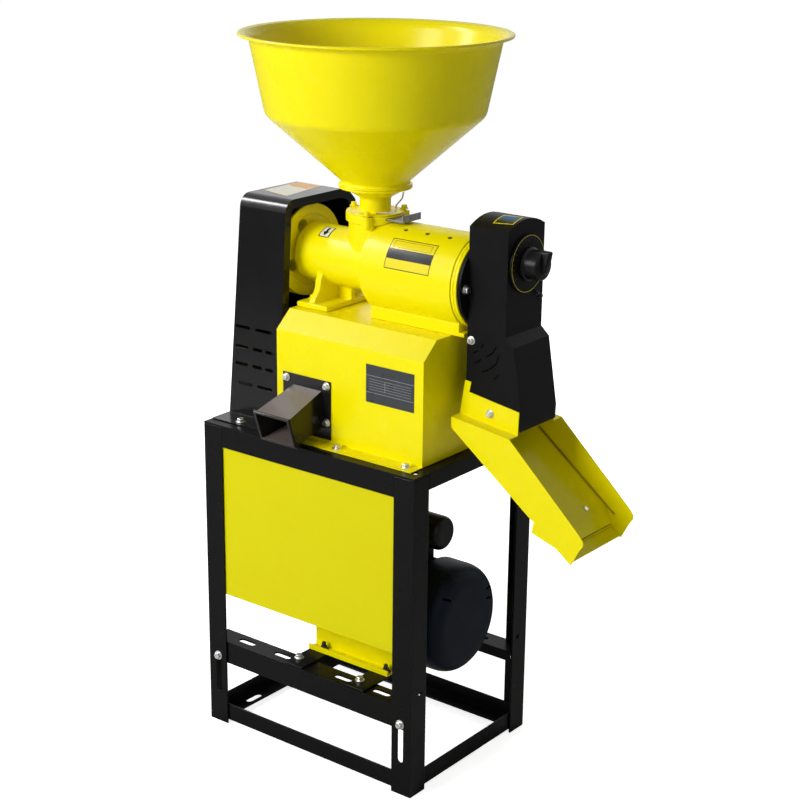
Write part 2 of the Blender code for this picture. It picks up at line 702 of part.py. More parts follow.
# Motor bearings
for word, left in (("drive", DRIVE_SEAT + GAP), ("fan", FAN_SEAT)):
    right = left + MOTOR_BEARING_WIDTH - 2 * GAP
    inner = MOTOR_SHAFT_RADIUS + GAP
    bm = tube(bmesh.new(), "X", circle(MOTOR_BEARING_RADIUS, 20), circle(inner, 20), left, right)
    add_object(f"motor_bearing_{word}", bm, "steel", motor_axis)

# Motor stator with open teeth
teeth = []
for i in range(STATOR_TEETH):
    for step, radius in ((0.0, 0.0), (0.7, 0.0), (0.75, 0.014), (0.95, 0.014)):
        angle = 2 * math.pi * (i + step) / STATOR_TEETH
        size = ROTOR_RADIUS + AIR_GAP + radius
        teeth.append((size * math.cos(angle), size * math.sin(angle)))
core = FRAME_BORE - 4 * GAP
back = [(a * core / math.hypot(a, b), b * core / math.hypot(a, b)) for a, b in teeth]
add_object("motor_stator", tube(bmesh.new(), "X", back, teeth, ROTOR_LEFT, ROTOR_RIGHT), "core", motor_axis)

# Motor rotor and its shaft
RIM_LEFT = BELT_PLANE - RIM_WIDTH / 2
rotor = [
    (RIM_LEFT, 0.0), (RIM_LEFT, MOTOR_SHAFT_RADIUS), (ROTOR_LEFT, MOTOR_SHAFT_RADIUS),
    (ROTOR_LEFT, ROTOR_RADIUS), (ROTOR_RIGHT, ROTOR_RADIUS), (ROTOR_RIGHT, MOTOR_SHAFT_RADIUS),
    (FAN_LEFT + FAN_DEPTH, MOTOR_SHAFT_RADIUS), (FAN_LEFT + FAN_DEPTH, 0.0),
]
add_object("motor_rotor", turn(bmesh.new(), "X", rotor, 24), "steel", motor_axis)

# Motor fan
fan_body = [
    (FAN_LEFT, MOTOR_SHAFT_RADIUS + GAP), (FAN_LEFT, FAN_RADIUS), (FAN_LEFT + 0.003, FAN_RADIUS),
    (FAN_LEFT + 0.003, 0.022), (FAN_LEFT + FAN_DEPTH, 0.02), (FAN_LEFT + FAN_DEPTH, MOTOR_SHAFT_RADIUS + GAP),
]
fan = add_object("motor_fan", turn(bmesh.new(), "X", fan_body, 28), "plastic", motor_axis)
bm = bmesh.new()
for i in range(BLADE_COUNT):
    spin = Matrix.Rotation(2 * math.pi * i / BLADE_COUNT, 2)
    flat = [(0.018, -0.0012), (FAN_RADIUS - 0.002, -0.0012), (FAN_RADIUS - 0.002, 0.0012), (0.018, 0.0012)]
    outline = [tuple(spin @ Vector(point)) for point in flat]
    prism(bm, "X", outline, FAN_LEFT + 0.001, FAN_LEFT + FAN_DEPTH - 0.002)
combine(fan, bm, "_blades", "UNION")

# Motor fan cover with arc vents
dome = arc((COVER_RIGHT - 0.032, COVER_RADIUS - 0.032), 0.032, 90, 12, 4)
outside = [(COVER_LEFT, COVER_RADIUS)] + dome + [(COVER_RIGHT, 0.0)]
inside = [(COVER_RIGHT - SHEET, 0.0)]
inside += [(t - SHEET * 0.7, r - SHEET * 0.7) for t, r in reversed(dome)]
inside += [(COVER_LEFT, COVER_RADIUS - SHEET)]
bm = bmesh.new()
turn(bm, "X", outside + inside)
cover = add_object("motor_fan_cover", bm, "navy", motor_axis)
bm = bmesh.new()
for radius, count in ((0.024, 3), (0.047, 6)):
    for i in range(count):
        middle = 360.0 * i / count + 18.0
        half = 130.0 / count
        ring = arc((0.0, 0.0), radius + 0.002, middle - half, middle + half, 3)
        ring += reversed(arc((0.0, 0.0), radius - 0.002, middle - half, middle + half, 3))
        prism(bm, "X", ring, COVER_RIGHT - OVERCUT, COVER_RIGHT + OVERCUT)
combine(cover, bm, "_vents")

# Capacitor on its saddle
dome_left = arc((CAPACITOR_LEFT + 0.012, CAPACITOR_RADIUS - 0.012), 0.012, 180, 90, 3)
dome_right = arc((CAPACITOR_RIGHT - 0.012, CAPACITOR_RADIUS - 0.012), 0.012, 90, 0, 3)
profile = [(CAPACITOR_LEFT, 0.0)] + dome_left + dome_right + [(CAPACITOR_RIGHT, 0.0)]
bm = turn(bmesh.new(), "X", profile, 28, (0.0, CAPACITOR_HEIGHT))
capacitor = add_object("capacitor_box", bm, "plastic")
low_tilt = math.degrees(math.acos(SADDLE_HALF / (FIN_TIP + GAP)))
high_tilt = math.degrees(math.acos(SADDLE_HALF / (CAPACITOR_RADIUS - SADDLE_SINK)))
saddle = arc((0.0, MOTOR_HEIGHT), FIN_TIP + GAP, low_tilt, 180 - low_tilt, 4)
saddle += arc((0.0, CAPACITOR_HEIGHT), CAPACITOR_RADIUS - SADDLE_SINK, 180 + high_tilt, 360 - high_tilt, 6)
combine(capacitor, prism(bmesh.new(), "X", saddle, SADDLE_LEFT, SADDLE_RIGHT), "_saddle", "UNION")


def pulley_rim(radius):
    """Outer outline of a two-groove rim"""
    left = BELT_PLANE - RIM_WIDTH / 2
    rim = [(left, radius)]
    for side in (-1, 1):
        x = BELT_PLANE + side * GROOVE_PITCH / 2
        rim += [
            (x - GROOVE_TOP / 2, radius), (x - GROOVE_FLOOR / 2, radius - GROOVE_DEPTH),
            (x + GROOVE_FLOOR / 2, radius - GROOVE_DEPTH), (x + GROOVE_TOP / 2, radius),
        ]
    rim.append((left + RIM_WIDTH, radius))
    return rim


# Pulleys
RIM_RIGHT = RIM_LEFT + RIM_WIDTH
small_bore = MOTOR_SHAFT_RADIUS + GAP
profile = pulley_rim(MOTOR_PULLEY_RADIUS) + [(RIM_RIGHT, small_bore), (RIM_LEFT, small_bore)]
add_object("motor_pulley", turn(bmesh.new(), "X", profile, 22), "iron", motor_axis)
main_bore = SHAFT_RADIUS + GAP
profile = pulley_rim(MAIN_PULLEY_RADIUS) + [
    (RIM_RIGHT, RIM_INSIDE), (BELT_PLANE + WEB_HALF, RIM_INSIDE - 0.003), (BELT_PLANE + WEB_HALF, HUB_RADIUS),
    (RIM_RIGHT, HUB_RADIUS), (RIM_RIGHT, main_bore), (RIM_LEFT, main_bore), (RIM_LEFT, HUB_RADIUS),
    (BELT_PLANE - WEB_HALF, HUB_RADIUS), (BELT_PLANE - WEB_HALF, RIM_INSIDE - 0.003), (RIM_LEFT, RIM_INSIDE),
]
pulley = add_object("main_pulley", turn(bmesh.new(), "X", profile, 28), "yellow", main_axis)
bm = bmesh.new()
for i in range(4):
    angle = math.radians(PULLEY_HOLE_ANGLE + 90 * i)
    place = (PULLEY_HOLE_CIRCLE * math.cos(angle), PULLEY_HOLE_CIRCLE * math.sin(angle))
    prism(bm, "X", circle(PULLEY_HOLE_RADIUS, 12, place), BELT_PLANE - OVERCUT, BELT_PLANE + OVERCUT)
combine(pulley, bm, "_lightening")

# Belts
distance = SHAFT_HEIGHT - MOTOR_HEIGHT
lean = math.degrees(math.asin((MAIN_PULLEY_RADIUS - MOTOR_PULLEY_RADIUS) / distance))
for side, word in ((-1, "left"), (1, "right")):
    x = BELT_PLANE + side * GROOVE_PITCH / 2
    corners = [
        (x - BELT_TOP / 2, -BELT_SINK), (x + BELT_TOP / 2, -BELT_SINK),
        (x + BELT_FLOOR / 2, -BELT_SINK - BELT_HEIGHT), (x - BELT_FLOOR / 2, -BELT_SINK - BELT_HEIGHT),
    ]
    rings = []
    for centre, radius, first, last, steps in (
        (SHAFT_HEIGHT, MAIN_PULLEY_RADIUS, -lean, 180 + lean, 14),
        (MOTOR_HEIGHT, MOTOR_PULLEY_RADIUS, 180 + lean, 360 - lean, 10),
    ):
        for i in range(steps + 1):
            angle = math.radians(first + (last - first) * i / steps)
            ring = []
            for place, inset in corners:
                size = radius + inset
                ring.append(Vector((place, size * math.cos(angle), centre + size * math.sin(angle))))
            rings.append(ring)
    add_object(f"v_belt_{word}", loft(bmesh.new(), rings, closed=True), "rubber")

# Main casting
low = -SHAFT_HEIGHT
solid = [(NECK_LEFT, 0.0), (NECK_LEFT, NECK_RADIUS), (FLANGE_LEFT, NECK_RADIUS)]
solid += [(FLANGE_LEFT, FLANGE_RADIUS), (MILL_LEFT - GAP, FLANGE_RADIUS), (MILL_LEFT - GAP, 0.0)]
casting = add_object("main_casting", turn(bmesh.new(), "X", solid), "yellow", main_axis)
head = [
    (0.02, 0.0), (0.02, HEAD_RADIUS), (HEAD_COLLAR_BASE + low, HEAD_RADIUS),
    (HEAD_COLLAR_BASE + low, HEAD_COLLAR_RADIUS), (HEAD_TOP + low, HEAD_COLLAR_RADIUS), (HEAD_TOP + low, 0.0),
]
combine(casting, turn(bmesh.new(), "Z", head, ROUND, (HOPPER_X, 0.0)), "_head", "UNION")
LUG_PLACES = []
for degrees in LUG_ANGLES:
    x = HOPPER_X + LUG_CIRCLE * math.cos(math.radians(degrees))
    y = LUG_CIRCLE * math.sin(math.radians(degrees))
    LUG_PLACES.append((x, y))
bm = bmesh.new()
for place in LUG_PLACES:
    prism(bm, "Z", circle(LUG_RADIUS, 12, place), LUG_BASE + low, HEAD_TOP - GAP + low)
combine(casting, bm, "_lugs", "UNION")
pad_top = PAD_BASE + PAD_THICK + low
web_side = [(0.04, -0.02), (0.0405, -0.034), (0.045, -0.05), (WEB_FOOT_Y, pad_top - 0.003)]
web = [(-y, z) for y, z in web_side] + list(reversed(web_side))
combine(casting, prism(bmesh.new(), "X", web, WEB_LEFT, WEB_RIGHT), "_web", "UNION")
bm = box(bmesh.new(), (PAD_LEFT, -PAD_Y, PAD_BASE + low), (PAD_RIGHT, PAD_Y, pad_top))
combine(casting, bm, "_pad", "UNION")
rib = [
    (WEB_LEFT + 0.004, pad_top - 0.002), (PAD_RIGHT - 0.002, pad_top - 0.002),
    (PAD_RIGHT + 0.01, -0.04), (WEB_LEFT + 0.004, -0.04),
]
combine(casting, prism(bmesh.new(), "Y", rib, -0.005, 0.005), "_rib", "UNION")
SLOT_FIT = 2 * GAP
bm = box(
    bmesh.new(),
    (GATE_LEFT - 2 * GAP, -GATE_HALF - SLOT_FIT, GATE_BASE + low),
    (HOPPER_X + HEAD_COLLAR_RADIUS + OVERCUT, GATE_HALF + SLOT_FIT, GATE_TOP + GAP + low),
)
combine(casting, bm, "_gate_slot")
clear = [
    (MILL_LEFT - GAP, 0.0), (MILL_LEFT - GAP, MILL_RADIUS + GAP + CHORD_ALLOWANCE),
    (HOPPER_X + HEAD_COLLAR_RADIUS + OVERCUT, MILL_RADIUS + GAP + CHORD_ALLOWANCE),
    (HOPPER_X + HEAD_COLLAR_RADIUS + OVERCUT, 0.0),
]
combine(casting, turn(bmesh.new(), "X", clear, 40), "_cylinder_room")
bore = [
    (NECK_LEFT - OVERCUT, 0.0), (NECK_LEFT - OVERCUT, BEARING_RADIUS + GAP),
    (SEAL_LEFT, BEARING_RADIUS + GAP),
    (SEAL_LEFT, SHAFT_RADIUS + 5 * GAP), (CHAMBER_LEFT, SHAFT_RADIUS + 5 * GAP),
    (CHAMBER_LEFT, CHAMBER_RADIUS), (MILL_LEFT + OVERCUT, CHAMBER_RADIUS), (MILL_LEFT + OVERCUT, 0.0),
]
combine(casting, turn(bmesh.new(), "X", bore, 28), "_bore")
bm = prism(bmesh.new(), "Z", circle(FEED_BORE, 24, (HOPPER_X, 0.0)), 0.01, HEAD_TOP + low + OVERCUT)
combine(casting, bm, "_feed")
head_top = HEAD_TOP + low
holes(casting, "Z", LUG_PLACES, head_top - 0.008, head_top + OVERCUT, small=True, label="_lug_holes")
PAD_PLACES = [(PAD_BOLT_X, -PAD_BOLT_Y), (PAD_BOLT_X, PAD_BOLT_Y)]
holes(casting, "Z", PAD_PLACES, PAD_BASE + low - OVERCUT, pad_top + OVERCUT, label="_pad_holes")

# Milling cylinder
solid = [(MILL_LEFT, 0.0), (MILL_LEFT, MILL_RADIUS), (MILL_RIGHT, MILL_RADIUS), (MILL_RIGHT, 0.0)]
cylinder = add_object("milling_cylinder", turn(bmesh.new(), "X", solid, 40), "yellow", main_axis)
step = RING_RADIUS + 0.0007
saddle = [
    (MILL_LEFT + 0.0015, PAD_BASE + low), (RING_RIGHT - 0.001, PAD_BASE + low),
    (RING_RIGHT - 0.001, -step), (MILL_RIGHT - 0.0005, -step),
    (MILL_RIGHT - 0.0005, SADDLE_PLATE_TOP + low), (MILL_LEFT + 0.0015, SADDLE_PLATE_TOP + low),
]
combine(cylinder, prism(bmesh.new(), "Y", saddle, -SADDLE_PLATE_Y, SADDLE_PLATE_Y), "_saddle", "UNION")
bm = box(
    bmesh.new(),
    (BRAN_HOLE_LEFT, -BRAN_HOLE_Y, PAD_BASE + low - OVERCUT),
    (BRAN_HOLE_RIGHT, BRAN_HOLE_Y, PAD_BASE + low + 0.035),
)
combine(cylinder, bm, "_bran_hole")
bm = bmesh.new()
for x in BLADE_SCREW_XS:
    prism(bm, "Z", circle(BLADE_SCREW_RADIUS, 8, (x, 0.0)), MILL_BORE - OVERCUT / 2, MILL_RADIUS + OVERCUT)
tilt = Matrix.Rotation(math.radians(BLADE_SCREW_ANGLE - 90), 3, "X")
bmesh.ops.rotate(bm, verts=bm.verts, cent=(0.0, 0.0, 0.0), matrix=tilt)
combine(cylinder, bm, "_screw_holes")
inside = [
    (MILL_LEFT - OVERCUT, 0.0), (MILL_LEFT - OVERCUT, CHAMBER_RADIUS + GAP),
    (MILL_LEFT + MILL_END_WALL, CHAMBER_RADIUS + GAP), (MILL_LEFT + MILL_END_WALL, MILL_BORE),
    (MILL_RIGHT + OVERCUT, MILL_BORE), (MILL_RIGHT + OVERCUT, 0.0),
]
combine(cylinder, turn(bmesh.new(), "X", inside, 40), "_bore")

# End ring and end plate
PORT_PLACE = (0.0, PORT_RISE)
ring = [
    (RING_LEFT, RING_BORE), (RING_LEFT, RING_RADIUS), (RING_LEFT + 0.0042, RING_RADIUS),
    (RING_LEFT + 0.0046, RING_RADIUS - 0.001), (RING_LEFT + 0.0052, RING_RADIUS - 0.001),
    (RING_LEFT + 0.0056, RING_RADIUS), (RING_RIGHT, RING_RADIUS), (RING_RIGHT, RING_BORE),
]
END_PLACES = [(-END_BOLT_CIRCLE, 0.0), (END_BOLT_CIRCLE, 0.0)]
INNER_PLACES = [(-0.03, -0.043), (0.03, -0.043)]
end_ring = add_object("end_ring", turn(bmesh.new(), "X", ring), "yellow", main_axis)
port = circle(PORT_RADIUS, 20, PORT_PLACE)
combine(end_ring, prism(bmesh.new(), "X", port, RING_LEFT - OVERCUT, RING_RIGHT + OVERCUT), "_port")
holes(end_ring, "X", END_PLACES + INNER_PLACES, RING_LEFT - OVERCUT, RING_RIGHT + OVERCUT, small=True)
bm = prism(bmesh.new(), "X", circle(PLATE_RADIUS, ROUND), RING_RIGHT + GAP, PLATE_RIGHT)
end_plate = add_object("end_plate", bm, "black", main_axis)
combine(end_plate, prism(bmesh.new(), "X", port, RING_RIGHT - OVERCUT, PLATE_RIGHT + OVERCUT), "_port")
holes(end_plate, "X", END_PLACES + INNER_PLACES, RING_RIGHT - OVERCUT, PLATE_RIGHT + OVERCUT, small=True)

# Sieve screen round the lower half of the roller
SIEVE_LEFT = MILL_LEFT + MILL_END_WALL + GAP
SIEVE_RIGHT = RING_LEFT - GAP
half_ring = arc((0.0, 0.0), SIEVE_RADIUS, 180, 360, 18)
half_ring += reversed(arc((0.0, 0.0), SIEVE_RADIUS - SIEVE_SHEET, 180, 360, 18))
bm = prism(bmesh.new(), "X", half_ring, SIEVE_LEFT, SIEVE_RIGHT)
sieve = add_object("sieve_screen", bm, "steel", main_axis)
bm = bmesh.new()
pitch_x = (SIEVE_RIGHT - SIEVE_LEFT) / SIEVE_COLUMNS
for row in range(SIEVE_ROWS):
    swing = Matrix.Rotation(math.radians(-60 + 120 * row / (SIEVE_ROWS - 1)), 3, "X")
    for column in range(SIEVE_COLUMNS):
        x = SIEVE_LEFT + pitch_x * (column + 0.5)
        fresh = bmesh.new()
        reach = pitch_x * SIEVE_SLOT_SHARE / 2
        low_corner = (x - reach, -SIEVE_SLOT_HALF, -SIEVE_RADIUS - OVERCUT)
        box(fresh, low_corner, (x + reach, SIEVE_SLOT_HALF, -SIEVE_RADIUS + SIEVE_SHEET + OVERCUT))
        bmesh.ops.rotate(fresh, verts=fresh.verts, cent=(0.0, 0.0, 0.0), matrix=swing)
        spare = bpy.data.meshes.new("sieve_slot")
        fresh.to_mesh(spare)
        fresh.free()
        bm.from_mesh(spare)
        bpy.data.meshes.remove(spare)
combine(sieve, bm, "_slots")

# Milling blade under the crown of the cylinder
blade_top = MILL_BORE - 0.0011
flat = [
    (-BLADE_WIDTH / 2, blade_top - BLADE_DEPTH), (BLADE_WIDTH / 2, blade_top - BLADE_DEPTH),
    (BLADE_WIDTH / 2, blade_top), (-BLADE_WIDTH / 2, blade_top),
]
spin = Matrix.Rotation(math.radians(BLADE_SCREW_ANGLE - 90), 2)
outline = [tuple(spin @ Vector(point)) for point in flat]
add_object("milling_blade", prism(bmesh.new(), "X", outline, SIEVE_LEFT, SIEVE_RIGHT), "steel", main_axis)

# Milling roller with twisted ribs
RIB_SHAPE = [(0.0, ROLLER_RIB), (0.16, ROLLER_RIB)]
RIB_SHAPE += [(place, ROLLER_ROOT) for place in (0.2, 0.46, 0.72, 0.96)]
rings = []
steps = 4
for wall in ("outer", "inner"):
    for i in range(steps + 1):
        share = i / steps if wall == "outer" else 1 - i / steps
        x = ROLLER_LEFT + (ROLLER_RIGHT - ROLLER_LEFT) * share
        ring = []
        for rib_number in range(ROLLER_RIBS):
            for place, size in RIB_SHAPE:
                radius = size if wall == "outer" else SHAFT_RADIUS + GAP
                twist = math.radians(ROLLER_TWIST) * share
                angle = 2 * math.pi * (rib_number + place) / ROLLER_RIBS + twist
                ring.append(Vector((x, radius * math.cos(angle), radius * math.sin(angle))))
        rings.append(ring)
add_object("milling_roller", loft(bmesh.new(), rings, closed=True), "iron", main_axis, 25.0)

# Feed screw with one helical flight
hub_left = CHAMBER_LEFT + 0.0015
hub_right = ROLLER_LEFT - GAP
bm = tube(bmesh.new(), "X", circle(SCREW_HUB, 20), circle(SHAFT_RADIUS + GAP, 20), hub_left, hub_right)
screw = add_object("feed_screw", bm, "iron", main_axis)
rings = []
turn_steps = 14
flight_root = SCREW_HUB - 0.0015
for i in range(SCREW_TURNS * turn_steps + 1):
    angle = 2 * math.pi * i / turn_steps
    x = hub_left + SCREW_THICK + SCREW_PITCH * i / turn_steps
    ring = []
    for offset, radius in ((-1, flight_root), (-1, SCREW_RADIUS), (1, SCREW_RADIUS), (1, flight_root)):
        shifted = x + offset * SCREW_THICK / 2
        ring.append(Vector((shifted, radius * math.cos(angle), radius * math.sin(angle))))
    rings.append(ring)
combine(screw, loft(bmesh.new(), rings), "_flight", "UNION")

# Main shaft and its bearings
profile = [
    (SHAFT_LEFT, 0.0), (SHAFT_LEFT, SHAFT_RADIUS - 0.0015), (SHAFT_LEFT + 0.0015, SHAFT_RADIUS),
    (ROLLER_RIGHT - 0.001, SHAFT_RADIUS), (ROLLER_RIGHT - 0.001, THREAD_RADIUS),
    (THREAD_END, THREAD_RADIUS), (THREAD_END, 0.0),
]
add_object("main_shaft", turn(bmesh.new(), "X", profile, 24), "steel", main_axis)
for word, left in (("pulley", NECK_LEFT + 0.001), ("mill", SEAL_LEFT - BEARING_WIDTH - GAP)):
    bm = bmesh.new()
    tube(bm, "X", circle(BEARING_RADIUS, 24), circle(SHAFT_RADIUS + GAP, 24), left, left + BEARING_WIDTH)
    add_object(f"shaft_bearing_{word}", bm, "steel", main_axis)

# Outlet casing folded from one sheet
casing_side = [
    (CASING_LEFT, 0.606), (CASING_LEFT, CASING_SHOULDER), (CASING_RIGHT, CASING_SHOULDER),
    (CASING_RIGHT, 0.727), (0.3035, 0.714), (0.3205, 0.612), (0.3195, 0.591),
]
bm = bmesh.new()
rows = []
slices = 8
for i in range(slices + 1):
    y = -CASING_HALF + 2 * CASING_HALF * i / slices
    lift = CASING_CROWN * (1 - (y / CASING_HALF) ** 2)
    row = []
    for x, z in casing_side:
        row.append(bm.verts.new((x, y, z + (lift if z == CASING_SHOULDER else 0.0))))
    rows.append(row)
for first, second in zip(rows, rows[1:]):
    for i in range(len(casing_side) - 1):
        bm.faces.new((first[i], first[i + 1], second[i + 1], second[i]))
bm.faces.new(rows[0])
bm.faces.new(rows[-1])
casing = add_object("outlet_casing", bm, "black", smooth=30.0)
thicken(casing, SHEET, mitred=False)
window = circle(CASING_WINDOW, 20, (0.0, PORT_HEIGHT))
combine(casing, prism(bmesh.new(), "X", window, CASING_LEFT - 0.004, CASING_LEFT + 0.004), "_window")
collar = circle(ROD_RADIUS + 2 * GAP, 12, (0.0, PORT_HEIGHT))
combine(casing, prism(bmesh.new(), "X", collar, CASING_RIGHT - 0.004, CASING_RIGHT + 0.004), "_rod_hole")
CASING_BOLTS = [(0.23, 0.713), (0.268, 0.609)]
side_cut = CASING_HALF + OVERCUT
holes(casing, "Y", CASING_BOLTS, -side_cut, side_cut, small=True, label="_side_holes")
wall_places = [(y, z + SHAFT_HEIGHT) for y, z in INNER_PLACES]
holes(casing, "X", wall_places, CASING_LEFT - 0.004, CASING_LEFT + 0.004, small=True, label="_wall_holes")

# Pressure dial and knob
DIAL_LEFT = CASING_RIGHT + SKIN + GAP
DIAL_RIGHT = DIAL_LEFT + DIAL_THICK
bm = tube(bmesh.new(), "X", circle(DIAL_RADIUS, 36), circle(ROD_RADIUS + 3 * GAP, 36), DIAL_LEFT, DIAL_RIGHT)
add_object("pressure_dial", bm, "black", port_axis)
KNOB_LEFT = DIAL_RIGHT + GAP
hub = [
    (KNOB_LEFT, 0.0), (KNOB_LEFT, KNOB_RADIUS),
    (KNOB_LEFT + 0.004, KNOB_RADIUS), (KNOB_LEFT + 0.006, KNOB_RADIUS - 0.003),
    (KNOB_BASE_END - 0.003, KNOB_RADIUS - 0.004), (KNOB_BASE_END, KNOB_RADIUS - 0.008),
    (KNOB_BASE_END, 0.0),
]
knob = add_object("pressure_knob", turn(bmesh.new(), "X", hub, 28), "plastic", port_axis)
grip = [(-GRIP_HALF, -GRIP_TAIL + 0.004), (-GRIP_HALF, 0.006), (-0.0045, GRIP_TIP - 0.003), (0.0, GRIP_TIP)]
grip += [(0.0045, GRIP_TIP - 0.003), (GRIP_HALF, 0.006), (GRIP_HALF, -GRIP_TAIL + 0.004), (0.0, -GRIP_TAIL)]
combine(knob, prism(bmesh.new(), "X", grip, KNOB_BASE_END - 0.012, KNOB_GRIP_END), "_grip", "UNION")
socket = circle(ROD_RADIUS + 2 * GAP, 16)
socket_end = ROD_END + PLUNGER_TRAVEL + 0.002
combine(knob, prism(bmesh.new(), "X", socket, KNOB_LEFT - OVERCUT, socket_end), "_socket")

# Pressure plunger and spring
disc_left = PLATE_RIGHT + 2 * GAP
disc_right = disc_left + DISC_THICK
profile = [
    (disc_left, 0.0), (disc_left, DISC_RADIUS), (disc_right, DISC_RADIUS), (disc_right, ROD_RADIUS),
    (COLLAR_LEFT, ROD_RADIUS), (COLLAR_LEFT, COLLAR_RADIUS), (COLLAR_RIGHT, COLLAR_RADIUS),
    (COLLAR_RIGHT, ROD_RADIUS), (ROD_END, ROD_RADIUS), (ROD_END, 0.0),
]
add_object("pressure_plunger", turn(bmesh.new(), "X", profile, 20), "steel", port_axis)
rings = []
coil_steps = 10
first_x = disc_right + GAP + SPRING_WIRE
last_x = COLLAR_LEFT - GAP - SPRING_WIRE
for i in range(SPRING_TURNS * coil_steps + 1):
    share = i / (SPRING_TURNS * coil_steps)
    angle = 2 * math.pi * i / coil_steps
    ring = []
    for t, r in circle(SPRING_WIRE, 5):
        radius = SPRING_RADIUS + r
        x = first_x + (last_x - first_x) * share + t
        ring.append(Vector((x, radius * math.cos(angle), radius * math.sin(angle))))
    rings.append(ring)
add_object("pressure_spring", loft(bmesh.new(), rings), "zinc", port_axis, 80.0)

# Hopper spun from sheet with a rolled rim
rim_roll = [
    (HOPPER_TOP - 0.008, HOPPER_MOUTH), (HOPPER_TOP - 0.0025, HOPPER_MOUTH + 0.004),
    (HOPPER_TOP - 0.0015, HOPPER_RIM - 0.003), (HOPPER_TOP - 0.0045, HOPPER_RIM),
    (HOPPER_TOP - 0.001, HOPPER_RIM), (HOPPER_TOP, HOPPER_RIM - 0.003),
]
slant = HOPPER_SHEET * 1.4
profile = [
    (HOPPER_RING_BASE, HOPPER_FOOT - 0.003), (HOPPER_RING_BASE, HOPPER_RING_RADIUS),
    (HOPPER_RING_BASE + 0.0025, HOPPER_RING_RADIUS), (HOPPER_RING_BASE + 0.0025, HOPPER_FOOT + 0.0005),
    (HOPPER_FOOT_Z, HOPPER_FOOT), (HOPPER_SHOULDER_Z, HOPPER_SHOULDER), *rim_roll,
    (HOPPER_TOP - 0.001, HOPPER_MOUTH + 0.0035), (HOPPER_TOP - 0.0075, HOPPER_MOUTH - HOPPER_SHEET),
    (HOPPER_SHOULDER_Z + 0.0006, HOPPER_SHOULDER - HOPPER_SHEET),
    (HOPPER_FOOT_Z + slant, HOPPER_FOOT - 0.0006),
]
bm = turn(bmesh.new(), "Z", profile, 44, (HOPPER_X, 0.0))
add_object("hopper", bm, "yellow", smooth=28.0)

# Feed neck under the hopper
NECK_BASE = HEAD_TOP + GAP
NECK_TOP = HOPPER_RING_BASE - GAP
bore = NECK_TUBE_RADIUS - SHEET
profile = [
    (NECK_BASE, bore), (NECK_BASE, HEAD_COLLAR_RADIUS - 0.001),
    (NECK_BASE + 0.002, HEAD_COLLAR_RADIUS - 0.001), (NECK_BASE + 0.002, NECK_TUBE_RADIUS),
    (NECK_TUBE_TOP, NECK_TUBE_RADIUS), (NECK_TOP - NECK_RING_THICK, 0.05),
    (NECK_TOP - NECK_RING_THICK, HOPPER_RING_RADIUS), (NECK_TOP, HOPPER_RING_RADIUS), (NECK_TOP, 0.0487),
    (NECK_TUBE_TOP + 0.0006, bore),
]
neck = add_object("feed_neck", turn(bmesh.new(), "Z", profile, 28, (HOPPER_X, 0.0)), "yellow")
bm = bmesh.new()
for place in LUG_PLACES:
    prism(bm, "Z", circle(LUG_RADIUS - 0.0005, 12, place), NECK_BASE + GAP, NECK_BASE + 0.0017)
combine(neck, bm, "_ears", "UNION")
holes(neck, "Z", LUG_PLACES, NECK_BASE - OVERCUT, NECK_BASE + OVERCUT, small=True)

# Slide gate
lip = GATE_LIP_TOP - GATE_BASE
outline = [
    (GATE_LEFT - HOPPER_X, GAP), (GATE_RIGHT - HOPPER_X, GAP), (GATE_RIGHT - HOPPER_X, lip),
    (GATE_RIGHT - HOPPER_X - GATE_LIP_THICK, lip), (GATE_RIGHT - HOPPER_X - GATE_LIP_THICK, GAP + GATE_THICK),
    (GATE_LEFT - HOPPER_X, GAP + GATE_THICK),
]
add_object("slide_gate", prism(bmesh.new(), "Y", outline, -GATE_HALF, GATE_HALF), "zinc", gate_datum)

# Wire clip between the hopper ring and the feed head
rest_z = NECK_BASE + 0.002 + GAP + WIRE_RADIUS
path = [
    Vector((0.0665, 0.0, NECK_TOP - NECK_RING_THICK - GAP - WIRE_RADIUS)), Vector((0.064, 0.0, 0.894)),
    Vector((0.0525, 0.0, 0.882)), Vector((0.0515, 0.0, rest_z)), Vector((0.046, -0.015, rest_z)),
    Vector((0.034, -0.0265, rest_z)),
]
rings = []
for i, point in enumerate(path):
    ahead = path[min(i + 1, len(path) - 1)] - path[max(i - 1, 0)]
    side = Vector((0.3, 1.0, 0.2)).cross(ahead).normalized()
    other = ahead.normalized().cross(side)
    ring = []
    for a, b in circle(WIRE_RADIUS, 6):
        ring.append(point + side * a + other * b)
    rings.append(ring)
add_object("hopper_clip", loft(bmesh.new(), rings), "zinc", smooth=80.0)

# Bran box folded from one sheet with closed ends
flange_z = BOX_BASE + SKIN
section = [
    (-BOX_FOOT, flange_z), (-BOX_HALF + SKIN, flange_z), (-BOX_HALF + SKIN, BOX_SHOULDER),
    (-BOX_TOP_HALF, BOX_TOP - SKIN), (BOX_TOP_HALF, BOX_TOP - SKIN),
    (BOX_HALF - SKIN, BOX_SHOULDER), (BOX_HALF - SKIN, flange_z), (BOX_FOOT, flange_z),
]
bm = bmesh.new()
left_row = [bm.verts.new((BOX_LEFT + SKIN, y, z)) for y, z in section]
right_row = [bm.verts.new((BOX_RIGHT - SKIN, y, z)) for y, z in section]
for i in range(len(section) - 1):
    bm.faces.new((left_row[i], left_row[i + 1], right_row[i + 1], right_row[i]))
bm.faces.new(left_row[1:-1])
bm.faces.new(right_row[1:-1])
bran_box = add_object("bran_box", bm, "yellow")
thicken(bran_box, SHEET)
bm = box(
    bmesh.new(),
    (BRAN_HOLE_LEFT, -BRAN_HOLE_Y, BOX_TOP - OVERCUT),
    (BRAN_HOLE_RIGHT, BRAN_HOLE_Y, BOX_TOP + OVERCUT),
)
combine(bran_box, bm, "_inlet")
x0, x1, z0, z1 = DUCT_THROAT
